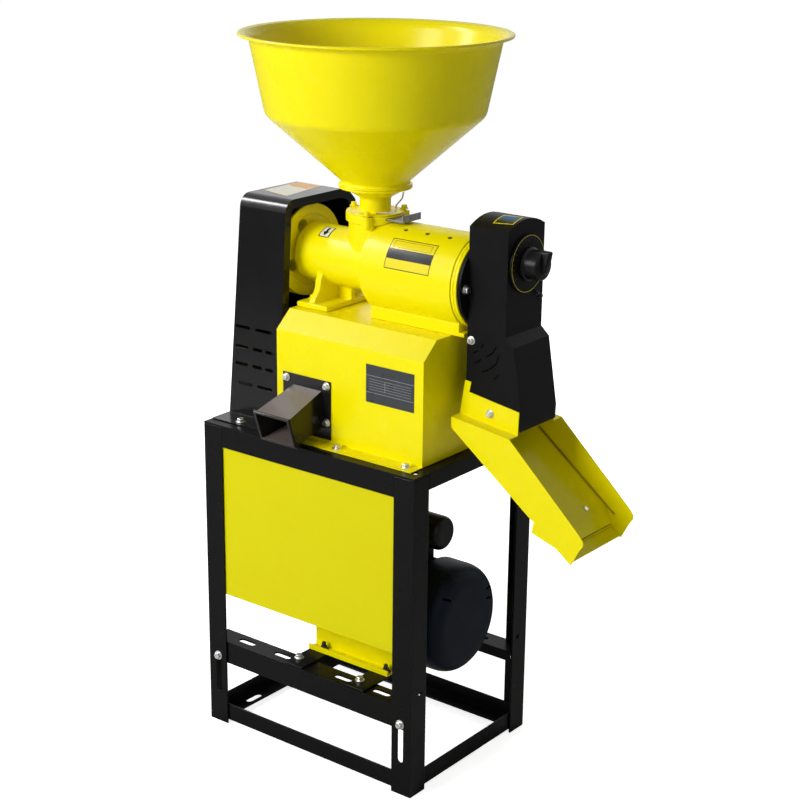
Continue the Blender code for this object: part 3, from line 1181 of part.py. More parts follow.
bm = box(bmesh.new(), (x0, -BOX_HALF - OVERCUT, z0), (x1, -BOX_HALF + OVERCUT, z1))
combine(bran_box, bm, "_outlet")
DUCT_PLACES = [(x, DUCT_BOLT_TOP_Z) for x in DUCT_BOLT_XS] + [(x, DUCT_BOLT_LOW_Z) for x in DUCT_BOLT_XS]
holes(bran_box, "Y", DUCT_PLACES, -BOX_HALF - OVERCUT, -BOX_HALF + OVERCUT, small=True, label="_duct_holes")
foot_places = [(x, side * TOP_BOLT_Y) for side, xs in TOP_BOLT_XS.items() for x in xs if x > BOX_LEFT]
holes(bran_box, "Z", foot_places, BOX_BASE - OVERCUT, BOX_BASE + OVERCUT, label="_foot_holes")
holes(bran_box, "Z", PAD_PLACES, BOX_TOP - OVERCUT, BOX_TOP + OVERCUT, label="_pad_holes")

# Bran slide inside the box
reach = BOX_HALF - SHEET - GAP - 0.0007
outline = strip([(-reach, SLIDE_LOW), (reach, SLIDE_HIGH)], SHEET)
bm = prism(bmesh.new(), "X", outline, BOX_LEFT + SHEET + GAP, BOX_RIGHT - SHEET - GAP)
add_object("bran_slide", bm, "yellow")


def mouth_ring(x_low, x_high, z_low, z_high, grow):
    """Rectangle in the leaning plane of the duct mouth"""
    lean_y = (DUCT_MOUTH_TOP_Y - DUCT_MOUTH_BASE_Y) / (z_high - z_low)
    points = []
    for x, z in (
        (x_low - grow, z_low - grow), (x_high + grow, z_low - grow),
        (x_high + grow, z_high + grow), (x_low - grow, z_high + grow),
    ):
        points.append(Vector((x, DUCT_MOUTH_BASE_Y + (z - z_low) * lean_y, z)))
    return points


# Bran duct lofted from the box wall to its mouth
wall_y = -BOX_HALF - GAP - SKIN
bm = bmesh.new()
rings = []
for x0, x1, z0, z1 in (DUCT_FLANGE, DUCT_THROAT):
    corners = [(x0, z0), (x1, z0), (x1, z1), (x0, z1)]
    rings.append([Vector((x, wall_y, z)) for x, z in corners])
rings.append(mouth_ring(*DUCT_MOUTH, 0.0))
rings.append(mouth_ring(*DUCT_MOUTH, DUCT_LIP))
rows = [[bm.verts.new(point) for point in ring] for ring in rings]
for first, second in zip(rows, rows[1:]):
    for i in range(4):
        j = (i + 1) % 4
        bm.faces.new((first[i], first[j], second[j], second[i]))
duct = add_object("bran_duct", bm, "black")
thicken(duct, SHEET)
holes(duct, "Y", DUCT_PLACES, wall_y - 0.004, wall_y + 0.004, small=True)

# Belt guard folded from one sheet
guard_z = BOX_BASE + SKIN
section = [(-GUARD_FOOT, guard_z), (-GUARD_FRONT, guard_z), (-GUARD_FRONT_TOP, GUARD_FRONT_ROUND)]
section += arc((-GUARD_FRONT_TOP + 0.0195, GUARD_TOP - 0.0195), 0.0195, 165, 90, 4)
section += [(0.058, GUARD_TOP), (0.0785, 0.8708), (0.0925, 0.857), (0.0965, 0.838)]
section += [(GUARD_BACK, guard_z), (GUARD_FOOT + 0.002, guard_z)]
bm = bmesh.new()
left_row, right_row = [], []
for y, z in section:
    rise = (z - guard_z) / (GUARD_TOP - guard_z)
    left_row.append(bm.verts.new((GUARD_LEFT + GUARD_LEAN * rise, y, z)))
    right_row.append(bm.verts.new((GUARD_RIGHT, y, z)))
for i in range(len(section) - 1):
    bm.faces.new((left_row[i], left_row[i + 1], right_row[i + 1], right_row[i]))
bm.faces.new(left_row[1:-1])
inset = []
core_section = section[1:-1]
for i, point in enumerate(core_section):
    here = Vector(point)
    before = Vector(core_section[max(i - 1, 0)])
    after = Vector(core_section[min(i + 1, len(core_section) - 1)])
    ahead = (after - before).normalized()
    inward = Vector((ahead.y, -ahead.x))
    spot = here + inward * GUARD_LIP
    if i in (0, len(core_section) - 1):
        spot = Vector((here.x + math.copysign(GUARD_LIP, -here.x), here.y))
    inset.append(bm.verts.new((GUARD_RIGHT, spot.x, spot.y)))
for i in range(len(inset) - 1):
    bm.faces.new((right_row[i + 1], right_row[i + 2], inset[i + 1], inset[i]))
guard = add_object("belt_guard", bm, "black", smooth=30.0)
thicken(guard, SHEET)
bm = bmesh.new()
vent_rows = {
    0.668: ((-0.202, -0.17), (-0.16, -0.123)),
    0.636: ((-0.2, -0.173), (-0.164, -0.143), (-0.137, -0.118)),
    0.608: ((-0.2, -0.173), (-0.164, -0.143), (-0.137, -0.118)),
    0.577: ((-0.193, -0.162), (-0.152, -0.12)),
}
for z, spans in vent_rows.items():
    for x0, x1 in spans:
        outline = slot(((x0 + x1) / 2, z), x1 - x0, VENT_HEIGHT)
        prism(bm, "Y", outline, -GUARD_FRONT - OVERCUT, -GUARD_FRONT_TOP + OVERCUT)
combine(guard, bm, "_vents")
places = [(x, side * TOP_BOLT_Y) for side, xs in TOP_BOLT_XS.items() for x in xs if x < BOX_LEFT]
holes(guard, "Z", places, BOX_BASE - OVERCUT, BOX_BASE + OVERCUT, label="_foot_holes")

# Chute sides folded out of their brackets
wall_outline = [
    (0.213, 0.598), (0.2135, 0.582), (0.3576, 0.4733), (0.364, 0.4704), (0.361, 0.4525), (0.404, 0.439),
    (0.4295, 0.42), (0.443, 0.446), (CHUTE_TIP, 0.457), (0.443, 0.4676), (0.317, 0.585),
]
bracket_outline = [(0.3185, 0.621), (0.2292, 0.6346), (0.2324, 0.6506), (0.2215, 0.6515)]
for side, word in ((-1, "front"), (1, "back")):
    bm = bmesh.new()
    wall = [bm.verts.new((x, side * CHUTE_HALF, z)) for x, z in wall_outline]
    low_left = bm.verts.new((wall_outline[0][0], side * CHUTE_BRACKET_HALF, wall_outline[0][1]))
    low_right = bm.verts.new((wall_outline[-1][0], side * CHUTE_BRACKET_HALF, wall_outline[-1][1]))
    upper = [bm.verts.new((x, side * CHUTE_BRACKET_HALF, z)) for x, z in bracket_outline]
    bm.faces.new(wall)
    bm.faces.new((wall[0], wall[-1], low_right, low_left))
    bm.faces.new([low_left, low_right] + upper)
    chute_side = add_object(f"chute_side_{word}", bm, "yellow")
    thicken(chute_side, CHUTE_SHEET)
    middle = side * CHUTE_BRACKET_HALF
    holes(chute_side, "Y", CASING_BOLTS[1:], middle - OVERCUT, middle + OVERCUT, small=True)

# Chute floor and lower lip
floor_path = [(0.2165, 0.5925), (0.245, 0.586), (0.275, 0.5635), (0.4, 0.4655), (0.4155, 0.438)]
bm = prism(bmesh.new(), "Y", strip(floor_path, CHUTE_SHEET), -CHUTE_FLOOR_HALF, CHUTE_FLOOR_HALF)
add_object("chute_floor", bm, "yellow")
lip_path = [(0.3655, 0.454), (0.404, 0.4415), (0.4285, 0.4225)]
bm = prism(bmesh.new(), "Y", strip(lip_path, CHUTE_SHEET), -CHUTE_FLOOR_HALF, CHUTE_FLOOR_HALF)
add_object("chute_lip", bm, "yellow")
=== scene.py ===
import math

import bpy
from mathutils import Matrix, Vector


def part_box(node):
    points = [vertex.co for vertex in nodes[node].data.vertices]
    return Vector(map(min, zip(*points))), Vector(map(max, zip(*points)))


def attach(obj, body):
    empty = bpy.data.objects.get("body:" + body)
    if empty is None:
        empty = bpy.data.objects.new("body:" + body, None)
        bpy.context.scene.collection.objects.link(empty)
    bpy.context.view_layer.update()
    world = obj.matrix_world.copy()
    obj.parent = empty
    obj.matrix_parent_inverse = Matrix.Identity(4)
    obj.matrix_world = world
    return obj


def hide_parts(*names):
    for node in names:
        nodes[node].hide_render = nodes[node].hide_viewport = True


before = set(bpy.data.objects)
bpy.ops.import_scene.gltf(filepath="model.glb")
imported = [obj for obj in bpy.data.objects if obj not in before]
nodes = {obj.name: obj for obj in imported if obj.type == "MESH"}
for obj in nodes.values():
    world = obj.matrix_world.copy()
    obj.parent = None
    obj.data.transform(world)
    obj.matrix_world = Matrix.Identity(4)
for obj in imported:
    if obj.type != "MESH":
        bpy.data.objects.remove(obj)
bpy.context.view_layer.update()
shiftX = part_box("leg_front_left")[0][0] + 0.2105  # the row frame's X minus the stand centre's
print("frame loaded")

# Sizes shared by several pieces, in metres from the stand centre
mill = {
    "shaftZ": 0.7885,
    "hopperX": 0.012,
    "headTop": 0.867,
    "motorZ": 0.241,
    "portZ": 0.829,
}


# Modelling helpers

def clearSelection():
    if bpy.context.mode != "OBJECT":
        bpy.ops.object.mode_set(mode="OBJECT")
    bpy.ops.object.select_all(action="DESELECT")


def makeActive(piece):
    clearSelection()
    piece.select_set(True)
    bpy.context.view_layer.objects.active = piece


def activePiece():
    return bpy.context.view_layer.objects.active


def editMesh(piece=None, action="SELECT", kind=None):
    if piece:
        makeActive(piece)
    bpy.ops.object.mode_set(mode="EDIT")
    if kind:
        bpy.ops.mesh.select_mode(type=kind)
    bpy.ops.mesh.select_all(action=action)


def leaveMesh():
    bpy.ops.object.mode_set(mode="OBJECT")


def place(x, y, z):
    return Vector((x + shiftX, y, z))


def polar(radius, degrees, z=0.0):
    turn = math.radians(degrees)
    return radius * math.cos(turn), z + radius * math.sin(turn)


def bakePlace(piece):
    makeActive(piece)
    bpy.ops.object.transform_apply(location=True, rotation=True, scale=True)


def finishPiece(piece, name, finish, body="machine", angle=32):
    piece.name = name
    bakePlace(piece)
    if angle:
        bpy.ops.object.shade_smooth_by_angle(angle=math.radians(angle))
    piece.data.materials.clear()
    piece.data.materials.append(finishes[finish])
    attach(piece, body)


def replaceNode(piece, nodeName, finish, body="machine", angle=35):
    finishPiece(piece, nodeName + "_skin", finish, body, angle)
    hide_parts(nodeName)


def applyModifier(piece, kind, **values):
    makeActive(piece)
    change = piece.modifiers.new(kind.lower(), kind)
    for key, value in values.items():
        setattr(change, key, value)
    bpy.ops.object.modifier_apply(modifier=change.name)


def bevelEdges(piece, width, segments=2, degrees=30):
    limit = math.radians(degrees)
    applyModifier(piece, "BEVEL", width=width, segments=segments, limit_method="ANGLE", angle_limit=limit)


def flattenShading(piece):
    applyModifier(piece, "WEIGHTED_NORMAL", mode="FACE_AREA", weight=100, keep_sharp=True)


def cutWith(piece, cutter, operation="DIFFERENCE"):
    applyModifier(piece, "BOOLEAN", object=cutter, operation=operation, solver="EXACT")
    bpy.data.objects.remove(cutter, do_unlink=True)


def joinPieces(pieces):
    clearSelection()
    for piece in pieces:
        piece.select_set(True)
    bpy.context.view_layer.objects.active = pieces[0]
    bpy.ops.object.join()
    return activePiece()


def drawLine(start, points):
    clearSelection()
    bpy.ops.mesh.primitive_plane_add(size=0.002, location=start)
    piece = activePiece()
    editMesh(kind="VERT")
    bpy.ops.mesh.merge(type="CENTER")
    here = Vector(start)
    for point in points:
        bpy.ops.mesh.extrude_region_move(TRANSFORM_OT_translate={"value": Vector(point) - here})
        here = Vector(point)
    return piece


def spinPoint(axis, centre, along, radius):
    if axis == "X":
        return place(along, centre[0], centre[1] + radius)
    return place(centre[0] + radius, centre[1], along)


def spinPiece(profile, axis, centre, steps=96, angle=360.0):
    points = [spinPoint(axis, centre, t, r) for t, r in profile]
    closed = profile[0][1] > 0 or profile[-1][1] > 0
    if closed and angle == 360.0:
        points.append(points[0])
    piece = drawLine(points[0], points[1:])
    bpy.ops.mesh.select_all(action="SELECT")
    middle = place(0, centre[0], centre[1]) if axis == "X" else place(centre[0], centre[1], 0)
    direction = (1, 0, 0) if axis == "X" else (0, 0, 1)
    bpy.ops.mesh.spin(steps=steps, angle=math.radians(angle), center=middle, axis=direction)
    bpy.ops.mesh.select_all(action="SELECT")
    bpy.ops.mesh.remove_doubles(threshold=0.000005)
    bpy.ops.mesh.normals_make_consistent(inside=False)
    leaveMesh()
    return piece


def spinShaft(profile, steps):
    return spinPiece(profile, "X", (0, mill["shaftZ"]), steps)


def spinHopper(profile, steps):
    return spinPiece(profile, "Z", (mill["hopperX"], 0), steps)


def turnAboutX(piece, z, angle):
    middle = place(0, 0, z)
    piece.data.transform(Matrix.Translation(middle) @ Matrix.Rotation(angle, 4, "X") @ Matrix.Translation(-middle))


def addCube(location=(0, 0, 0)):
    clearSelection()
    bpy.ops.mesh.primitive_cube_add(size=1, location=location)
    return activePiece()


def roundedBox(low, high, bevel=0.001, segments=2):
    piece = addCube(place(*[(a + b) / 2 for a, b in zip(low, high)]))
    piece.scale = [b - a for a, b in zip(low, high)]
    bakePlace(piece)
    if bevel:
        bevelEdges(piece, bevel, segments)
    return piece


def rod(start, end, radius, sides=32):
    clearSelection()
    a, b = Vector(start), Vector(end)
    bpy.ops.mesh.primitive_cylinder_add(vertices=sides, radius=radius, depth=(b - a).length)
    piece = activePiece()
    piece.rotation_mode = "QUATERNION"
    piece.rotation_quaternion = (b - a).to_track_quat("Z", "Y")
    piece.location = place(*((a + b) / 2))
    bakePlace(piece)
    return piece


def rounded(points, corners, steps=4):
    line = []
    for i, point in enumerate(points):
        reach = corners.get(i, 0)
        if not reach:
            line.append(point)
            continue
        here = Vector(point)
        before = (Vector(points[i - 1]) - here).normalized() * reach
        after = (Vector(points[(i + 1) % len(points)]) - here).normalized() * reach
        for k in range(steps + 1):
            t = k / steps
            spot = (here + before) * (1 - t) ** 2 + here * 2 * t * (1 - t) + (here + after) * t ** 2
            line.append(tuple(spot))
    return line


# Rounds the edges that run across the sheet at the given x and z
def roundCorners(piece, spots, reach, near=0.0004):
    def isAt(end, x, z):
        return abs(end.x - x - shiftX) < near and abs(end.z - z) < near

    editMesh(action="DESELECT", kind="EDGE")
    leaveMesh()
    for edge in piece.data.edges:
        ends = [piece.data.vertices[v].co for v in edge.vertices]
        edge.select = any(all(isAt(end, x, z) for end in ends) for x, z in spots)
    bpy.ops.object.mode_set(mode="EDIT")
    bpy.ops.mesh.bevel(offset=reach, segments=4, affect="EDGES")
    leaveMesh()


# Copies a CAD node's mesh, softens its edges and lets the copy stand for the node
def dressCopy(nodeName, finish, bevel=0.0009, segments=2, body="machine", angle=32, corners=(), cornerReach=0.0062):
    clearSelection()
    source = nodes[nodeName]
    piece = source.copy()
    piece.data = source.data.copy()
    bpy.context.scene.collection.objects.link(piece)
    piece.parent = None
    piece.matrix_world = Matrix.Identity(4)
    piece.hide_render = False
    piece.hide_viewport = False
    for key in list(piece.keys()):
        del piece[key]
    editMesh(piece)
    bpy.ops.mesh.remove_doubles(threshold=0.00002)
    bpy.ops.mesh.dissolve_limited(angle_limit=math.radians(1.5))
    leaveMesh()
    if corners:
        roundCorners(piece, corners, cornerReach)
    bevelEdges(piece, bevel, segments, 28)
    replaceNode(piece, nodeName, finish, body, angle)
    flattenShading(piece)


# Shader helpers

def addNode(tree, kind, **values):
    node = tree.nodes.new(kind)
    for key, value in values.items():
        setattr(node, key, value)
    return node


def feed(tree, socket, value):
    if isinstance(value, bpy.types.NodeSocket):
        tree.links.new(value, socket)
    else:
        socket.default_value = value


def mixColors(tree, factor, first, second):
    mix = addNode(tree, "ShaderNodeMix", data_type="RGBA")
    for k, value in ((0, factor), (6, first), (7, second)):
        feed(tree, mix.inputs[k], value)
    return mix.outputs[2]


def doMath(tree, operation, first, second=0.5, clamp=False):
    node = addNode(tree, "ShaderNodeMath", operation=operation, use_clamp=clamp)
    for socket, value in zip(node.inputs, (first, second)):
        feed(tree, socket, value)
    return node.outputs[0]


def rescale(tree, value, low, high, toLow=0.0, toHigh=1.0):
    node = addNode(tree, "ShaderNodeMapRange", interpolation_type="SMOOTHSTEP")
    for k, given in enumerate((value, low, high, toLow, toHigh)):
        feed(tree, node.inputs[k], given)
    return node.outputs[0]


def objectNoise(tree, scale, detail=2.0, stretch=(1, 1, 1), roughness=0.5):
    spot = addNode(tree, "ShaderNodeTexCoord")
    shape = addNode(tree, "ShaderNodeMapping")
    shape.inputs["Scale"].default_value = stretch
    noise = addNode(tree, "ShaderNodeTexNoise")
    tree.links.new(spot.outputs["Object"], shape.inputs["Vector"])
    tree.links.new(shape.outputs["Vector"], noise.inputs["Vector"])
    feed(tree, noise.inputs["Scale"], scale)
    noise.inputs["Detail"].default_value = detail
    noise.inputs["Roughness"].default_value = roughness
    return noise.outputs["Fac"]


def newGroup(name, inputs, outputs):
    tree = bpy.data.node_groups.new(name, "ShaderNodeTree")
    for label, kind, value in inputs:
        socket = tree.interface.new_socket(label, in_out="INPUT", socket_type=kind)
        socket.default_value = value
    for label, kind in outputs:
        tree.interface.new_socket(label, in_out="OUTPUT", socket_type=kind)
    return tree, addNode(tree, "NodeGroupInput").outputs, addNode(tree, "NodeGroupOutput").inputs


number, shade = "NodeSocketFloat", "NodeSocketColor"


def makeSprayedPaint():
    tree, given, result = newGroup(
        "SprayedPaint",
        [("Color", shade, (0.8, 0.7, 0, 1)), ("Thin Color", shade, (0.6, 0.5, 0, 1)), ("Thin Amount", number, 0.3),
         ("Roughness", number, 0.3), ("Peel Scale", number, 700.0)],
        [("Color", shade), ("Roughness", number), ("Height", number)],
    )
    broad = objectNoise(tree, 9.0, 3.0)
    drift = objectNoise(tree, 31.0, 2.0)
    thin = doMath(tree, "MULTIPLY", rescale(tree, broad, 0.42, 0.72), given["Thin Amount"])
    tree.links.new(mixColors(tree, thin, given["Color"], given["Thin Color"]), result["Color"])
    swing = doMath(tree, "MULTIPLY", doMath(tree, "SUBTRACT", drift, 0.5), 0.16)
    tree.links.new(doMath(tree, "ADD", given["Roughness"], swing, True), result["Roughness"])
    peel = objectNoise(tree, given["Peel Scale"], 1.0)
    tree.links.new(doMath(tree, "ADD", peel, doMath(tree, "MULTIPLY", broad, 0.6)), result["Height"])
    return tree


# Dust in specks on upward faces. Raising Evenness fills the specks in to an even film, which the duct uses as a painted
# sheen: a pinkish, lighter top where light falls.
def makeSettledDust():
    tree, given, result = newGroup(
        "DustAndPaintedSheen",
        [("Color", shade, (0.5, 0.5, 0.5, 1)), ("Dust Color", shade, (0.6, 0.55, 0.42, 1)),
         ("Amount", number, 0.2), ("Evenness", number, 0.0), ("Roughness", number, 0.4)],
        [("Color", shade), ("Roughness", number)],
    )
    facing = addNode(tree, "ShaderNodeNewGeometry")
    parts = addNode(tree, "ShaderNodeSeparateXYZ")
    tree.links.new(facing.outputs["Normal"], parts.inputs[0])
    upward = rescale(tree, parts.outputs[2], 0.35, 0.95, 0.01, 1.0)
    coverPattern = rescale(tree, objectNoise(tree, 160.0, 6.0, roughness=0.7), 0.42, 0.75)
    coverPattern = doMath(tree, "MAXIMUM", coverPattern, given["Evenness"])
    cover = doMath(tree, "MULTIPLY", doMath(tree, "MULTIPLY", upward, coverPattern), given["Amount"], True)
    tree.links.new(mixColors(tree, cover, given["Color"], given["Dust Color"]), result["Color"])
    duller = doMath(tree, "MULTIPLY", cover, 0.5)
    tree.links.new(doMath(tree, "ADD", given["Roughness"], duller, True), result["Roughness"])
    return tree


def makeCastSkin():
    tree, given, result = newGroup(
        "CastSkin", [("Grain", number, 420.0), ("Lumps", number, 60.0)], [("Height", number), ("Pits", number)],
    )
    sand = objectNoise(tree, given["Grain"], 3.0, roughness=0.6)
    lumps = objectNoise(tree, given["Lumps"], 2.0)
    pits = rescale(tree, objectNoise(tree, given["Grain"], 0.0), 0.62, 0.75)
    body = doMath(tree, "ADD", doMath(tree, "MULTIPLY", sand, 0.6), doMath(tree, "MULTIPLY", lumps, 1.6))
    tree.links.new(doMath(tree, "SUBTRACT", body, doMath(tree, "MULTIPLY", pits, 0.35)), result["Height"])
    tree.links.new(pits, result["Pits"])
    return tree


def makeWorkedMetal():
    tree, given, result = newGroup(
        "WorkedMetal",
        [("Color", shade, (0.5, 0.5, 0.5, 1)), ("Dull Color", shade, (0.3, 0.3, 0.3, 1)),
         ("Roughness", number, 0.3), ("Grain", number, 240.0)],
        [("Color", shade), ("Roughness", number), ("Height", number)],
    )
    bloom = objectNoise(tree, given["Grain"], 4.0, roughness=0.65)
    lines = objectNoise(tree, given["Grain"], 2.0, stretch=(9, 1, 1))
    tree.links.new(
        mixColors(tree, rescale(tree, bloom, 0.38, 0.7), given["Color"], given["Dull Color"]), result["Color"])
    swing = doMath(tree, "MULTIPLY", doMath(tree, "SUBTRACT", bloom, 0.5), 0.35)
    tree.links.new(doMath(tree, "ADD", given["Roughness"], swing, True), result["Roughness"])
    tree.links.new(lines, result["Height"])
    return tree


groups = {
    "paint": makeSprayedPaint(),
    "dustAndSheen": makeSettledDust(),
    "cast": makeCastSkin(),
    "metal": makeWorkedMetal(),
}


def useGroup(tree, name, **values):
    node = addNode(tree, "ShaderNodeGroup", node_tree=groups[name])
    for key, value in values.items():
        feed(tree, node.inputs[key.replace("_", " ")], value)
    return node


def newMaterial(name, **values):
    material = bpy.data.materials.new(name)
    material.use_nodes = True
    tree = material.node_tree
    shader = tree.nodes["Principled BSDF"]
    for key, value in values.items():
        shader.inputs[key.replace("_", " ")].default_value = value
    return material, tree, shader


def addBump(tree, shader, height, strength, distance):
    bump = addNode(tree, "ShaderNodeBump")
    bump.inputs["Strength"].default_value = strength
    bump.inputs["Distance"].default_value = distance
    tree.links.new(height, bump.inputs["Height"])
    tree.links.new(bump.outputs["Normal"], shader.inputs["Normal"])


# Lays the dust layer, and with it the duct's painted sheen, over a surface's colour and roughness
def coverWithDustAndSheen(tree, shader, under, **values):
    veil = useGroup(tree, "dustAndSheen", Color=under["Color"], Roughness=under["Roughness"], **values)
    tree.links.new(veil.outputs["Color"], shader.inputs["Base Color"])
    tree.links.new(veil.outputs["Roughness"], shader.inputs["Roughness"])


def paintMaterial(name, color, thin, rough, peel, depth, dustAndSheen=0.15, thinAmount=0.3, cast=0.0, coat=0.0, specular=0.5,
                  dustAndSheenColor=(0.6, 0.55, 0.42), sheenEvenness=0.0):
    material, tree, shader = newMaterial(name, Specular_IOR_Level=specular, Coat_Weight=coat, Coat_Roughness=0.17)
    film = useGroup(tree, "paint", Color=(*color, 1), Thin_Color=(*thin, 1), Thin_Amount=thinAmount,
                    Roughness=rough, Peel_Scale=peel)
    coverWithDustAndSheen(tree, shader, film.outputs, Amount=dustAndSheen, Dust_Color=(*dustAndSheenColor, 1), Evenness=sheenEvenness)
    height = film.outputs["Height"]
    if cast:
        skin = useGroup(tree, "cast")
        height = doMath(tree, "ADD", height, doMath(tree, "MULTIPLY", skin.outputs["Height"], cast))
    addBump(tree, shader, height, 0.5, depth)
    return material


def metalMaterial(name, color, dull, rough, grain, depth=0.00005, dustAndSheen=0.08, metallic=1.0):
    material, tree, shader = newMaterial(name, Metallic=metallic)
    worked = useGroup(tree, "metal", Color=(*color, 1), Dull_Color=(*dull, 1), Roughness=rough, Grain=grain)
    coverWithDustAndSheen(tree, shader, worked.outputs, Amount=dustAndSheen)
    addBump(tree, shader, worked.outputs["Height"], 0.4, depth)
    return material


yellow = (0.93, 0.82, 0.0)
yellowThin = (0.90, 0.77, 0.0)
finishes = {
    "sheetYellow": paintMaterial("YellowSheetPaint", yellow, yellowThin, 0.26, 620, 0.00003, 0.012, specular=0.15),
    "castYellow": paintMaterial("YellowCastPaint", yellow, yellowThin, 0.3, 520, 0.00008, 0.012, cast=1.0,
                                specular=0.16),
    "panelYellow": paintMaterial("YellowPanelPaint", (0.70, 0.64, 0.0), (0.68, 0.61, 0.0), 0.4, 620, 0.00002, 0.01,
                                 specular=0.1),
    "standBlack": paintMaterial("BlackStandPaint", (0.004, 0.004, 0.0045), (0.006, 0.0055, 0.0055), 0.3, 540,
                                0.00004, 0.012, specular=0.05, coat=0.08),
    "guardBlack": paintMaterial("BlackGuardPaint", (0.004, 0.004, 0.0045), (0.006, 0.006, 0.0065), 0.2, 620,
                                0.00002, 0.01, specular=0.1, coat=0.4),
    "casingBlack": paintMaterial("BlackCasingPaint", (0.004, 0.004, 0.0045), (0.007, 0.007, 0.0075), 0.4, 900,
                                 0.0001, 0.012, specular=0.08),
    # Its even pinkish film on upward faces is a painted sheen that lightens the duct's top, not dust
    "ductBlack": paintMaterial("BlackDuctPaint", (0.008, 0.007, 0.007), (0.016, 0.013, 0.012), 0.22, 420,
                               0.00005, 0.42, specular=0.2, coat=0.2, dustAndSheenColor=(0.50, 0.39, 0.36), sheenEvenness=0.6),
    "motorNavy": paintMaterial("NavyMotorPaint", (0.003, 0.006, 0.012), (0.006, 0.010, 0.018), 0.42, 480,
                               0.00012, 0.02, cast=0.7, specular=0.07),
    "plasticBlack": paintMaterial("BlackMouldedPlastic", (0.005, 0.005, 0.0055), (0.008, 0.008, 0.0085), 0.34, 1500,
                                  0.00004, 0.008, specular=0.14),
    "zinc": metalMaterial("ZincPlate", (0.70, 0.70, 0.68), (0.46, 0.46, 0.44), 0.3, 260),
    "boltBlack": metalMaterial("BlackenedBolt", (0.05, 0.05, 0.05), (0.02, 0.02, 0.02), 0.42, 300, metallic=0.7),
    "steel": metalMaterial("BrightSteel", (0.56, 0.57, 0.58), (0.40, 0.41, 0.42), 0.26, 180),
    "gateSteel": metalMaterial("GateSteel", (0.30, 0.30, 0.30), (0.18, 0.18, 0.18), 0.38, 140),
    "iron": metalMaterial("MachinedIron", (0.27, 0.27, 0.275), (0.15, 0.15, 0.155), 0.42, 200, 0.0001),
    "core": metalMaterial("LaminatedCore", (0.25, 0.19, 0.16), (0.13, 0.11, 0.10), 0.5, 900, 0.0002),
    "rubber": paintMaterial("BeltRubber", (0.012, 0.012, 0.012), (0.024, 0.024, 0.022), 0.72, 900, 0.0002, 0.08, 0.6,
                            specular=0.3),
    "labelYellow": paintMaterial("LabelYellow", (0.86, 0.72, 0.01), (0.84, 0.69, 0.01), 0.22, 300, 0.00001, 0.01,
                                 specular=0.25),
    "labelBlack": paintMaterial("LabelBlack", (0.008, 0.008, 0.008), (0.012, 0.012, 0.012), 0.25, 300, 0.00001, 0.01,
                                specular=0.25),
    "labelWhite": paintMaterial("LabelWhite", (0.78, 0.78, 0.76), (0.74, 0.74, 0.72), 0.3, 300, 0.00001, 0.01),
    "labelOrange": paintMaterial("LabelOrange", (0.80, 0.38, 0.03), (0.72, 0.33, 0.02), 0.3, 300, 0.00001, 0.01),
    "labelBlue": paintMaterial("LabelBlue", (0.0, 0.09, 0.21), (0.0, 0.06, 0.15), 0.3, 300, 0.00001, 0.0,
                               specular=0.08),
    "plateGrey": paintMaterial("RatingPlateGrey", (0.040, 0.045, 0.050), (0.048, 0.053, 0.06), 0.3, 700, 0.00002, 0.02,
                               specular=0.25),
    "plateLine": paintMaterial("RatingPlateLine", (0.36, 0.37, 0.38), (0.30, 0.31, 0.32), 0.4, 700, 0.00001, 0.02),
    # Brown for the painted shade in the chute's creases
    "creaseShadeBrown": paintMaterial("PaintedCreaseShade", (0.42, 0.34, 0.01), (0.16, 0.10, 0.01), 0.6, 60, 0.0001, 0.02, 0.9,
                               specular=0.1),
    # Near-black for the painted shade in the casing's slit openings
    "slitShade": paintMaterial("PaintedSlitShade", (0.001, 0.001, 0.001), (0.002, 0.002, 0.002), 0.9, 700, 0.00002, 0.0,
                              specular=0.02),
}
print("finishes built")


# Folded and welded sheet parts kept to their solids, with bent edges

cadSkins = {
    "standBlack": (["leg_front_left", "leg_front_right", "leg_back_left", "leg_back_right", "rail_top_front",
                    "rail_top_back", "rail_top_left", "rail_top_right", "rail_mid_front", "rail_mid_back",
                    "rail_bottom_front", "rail_bottom_back", "rail_bottom_left", "rail_bottom_right",
                    "cross_member_left", "cross_member_right"], 0.0011),
    "sheetYellow": (["bran_box", "bran_slide", "motor_foot", "chute_side_front", "chute_side_back",
                     "chute_floor", "chute_lip"], 0.0006),
    "panelYellow": (["front_panel"], 0.0006),
    "ductBlack": (["bran_duct"], 0.0009),
    "guardBlack": (["belt_guard"], 0.0007),
    "casingBlack": (["outlet_casing"], 0.0007),
    "gateSteel": (["slide_gate"], 0.0004),
}
bodyOf = {"slide_gate": "gate"}
chuteCorners = ((0.443, 0.4676), (0.451, 0.457), (0.443, 0.446))
cornersOf = {"chute_side_front": chuteCorners, "chute_side_back": chuteCorners}
for finish, (names, bevel) in cadSkins.items():
    for name in names:
        dressCopy(name, finish, bevel, body=bodyOf.get(name, "machine"), corners=cornersOf.get(name, ()))
print("sheet parts dressed")

# Folded rim round the duct's mouth

rimForm = {"low": (-0.066, -0.1735, 0.532), "high": (0.0, -0.189, 0.577), "out": 0.0022, "in": 0.0016, "thick": 0.0034}


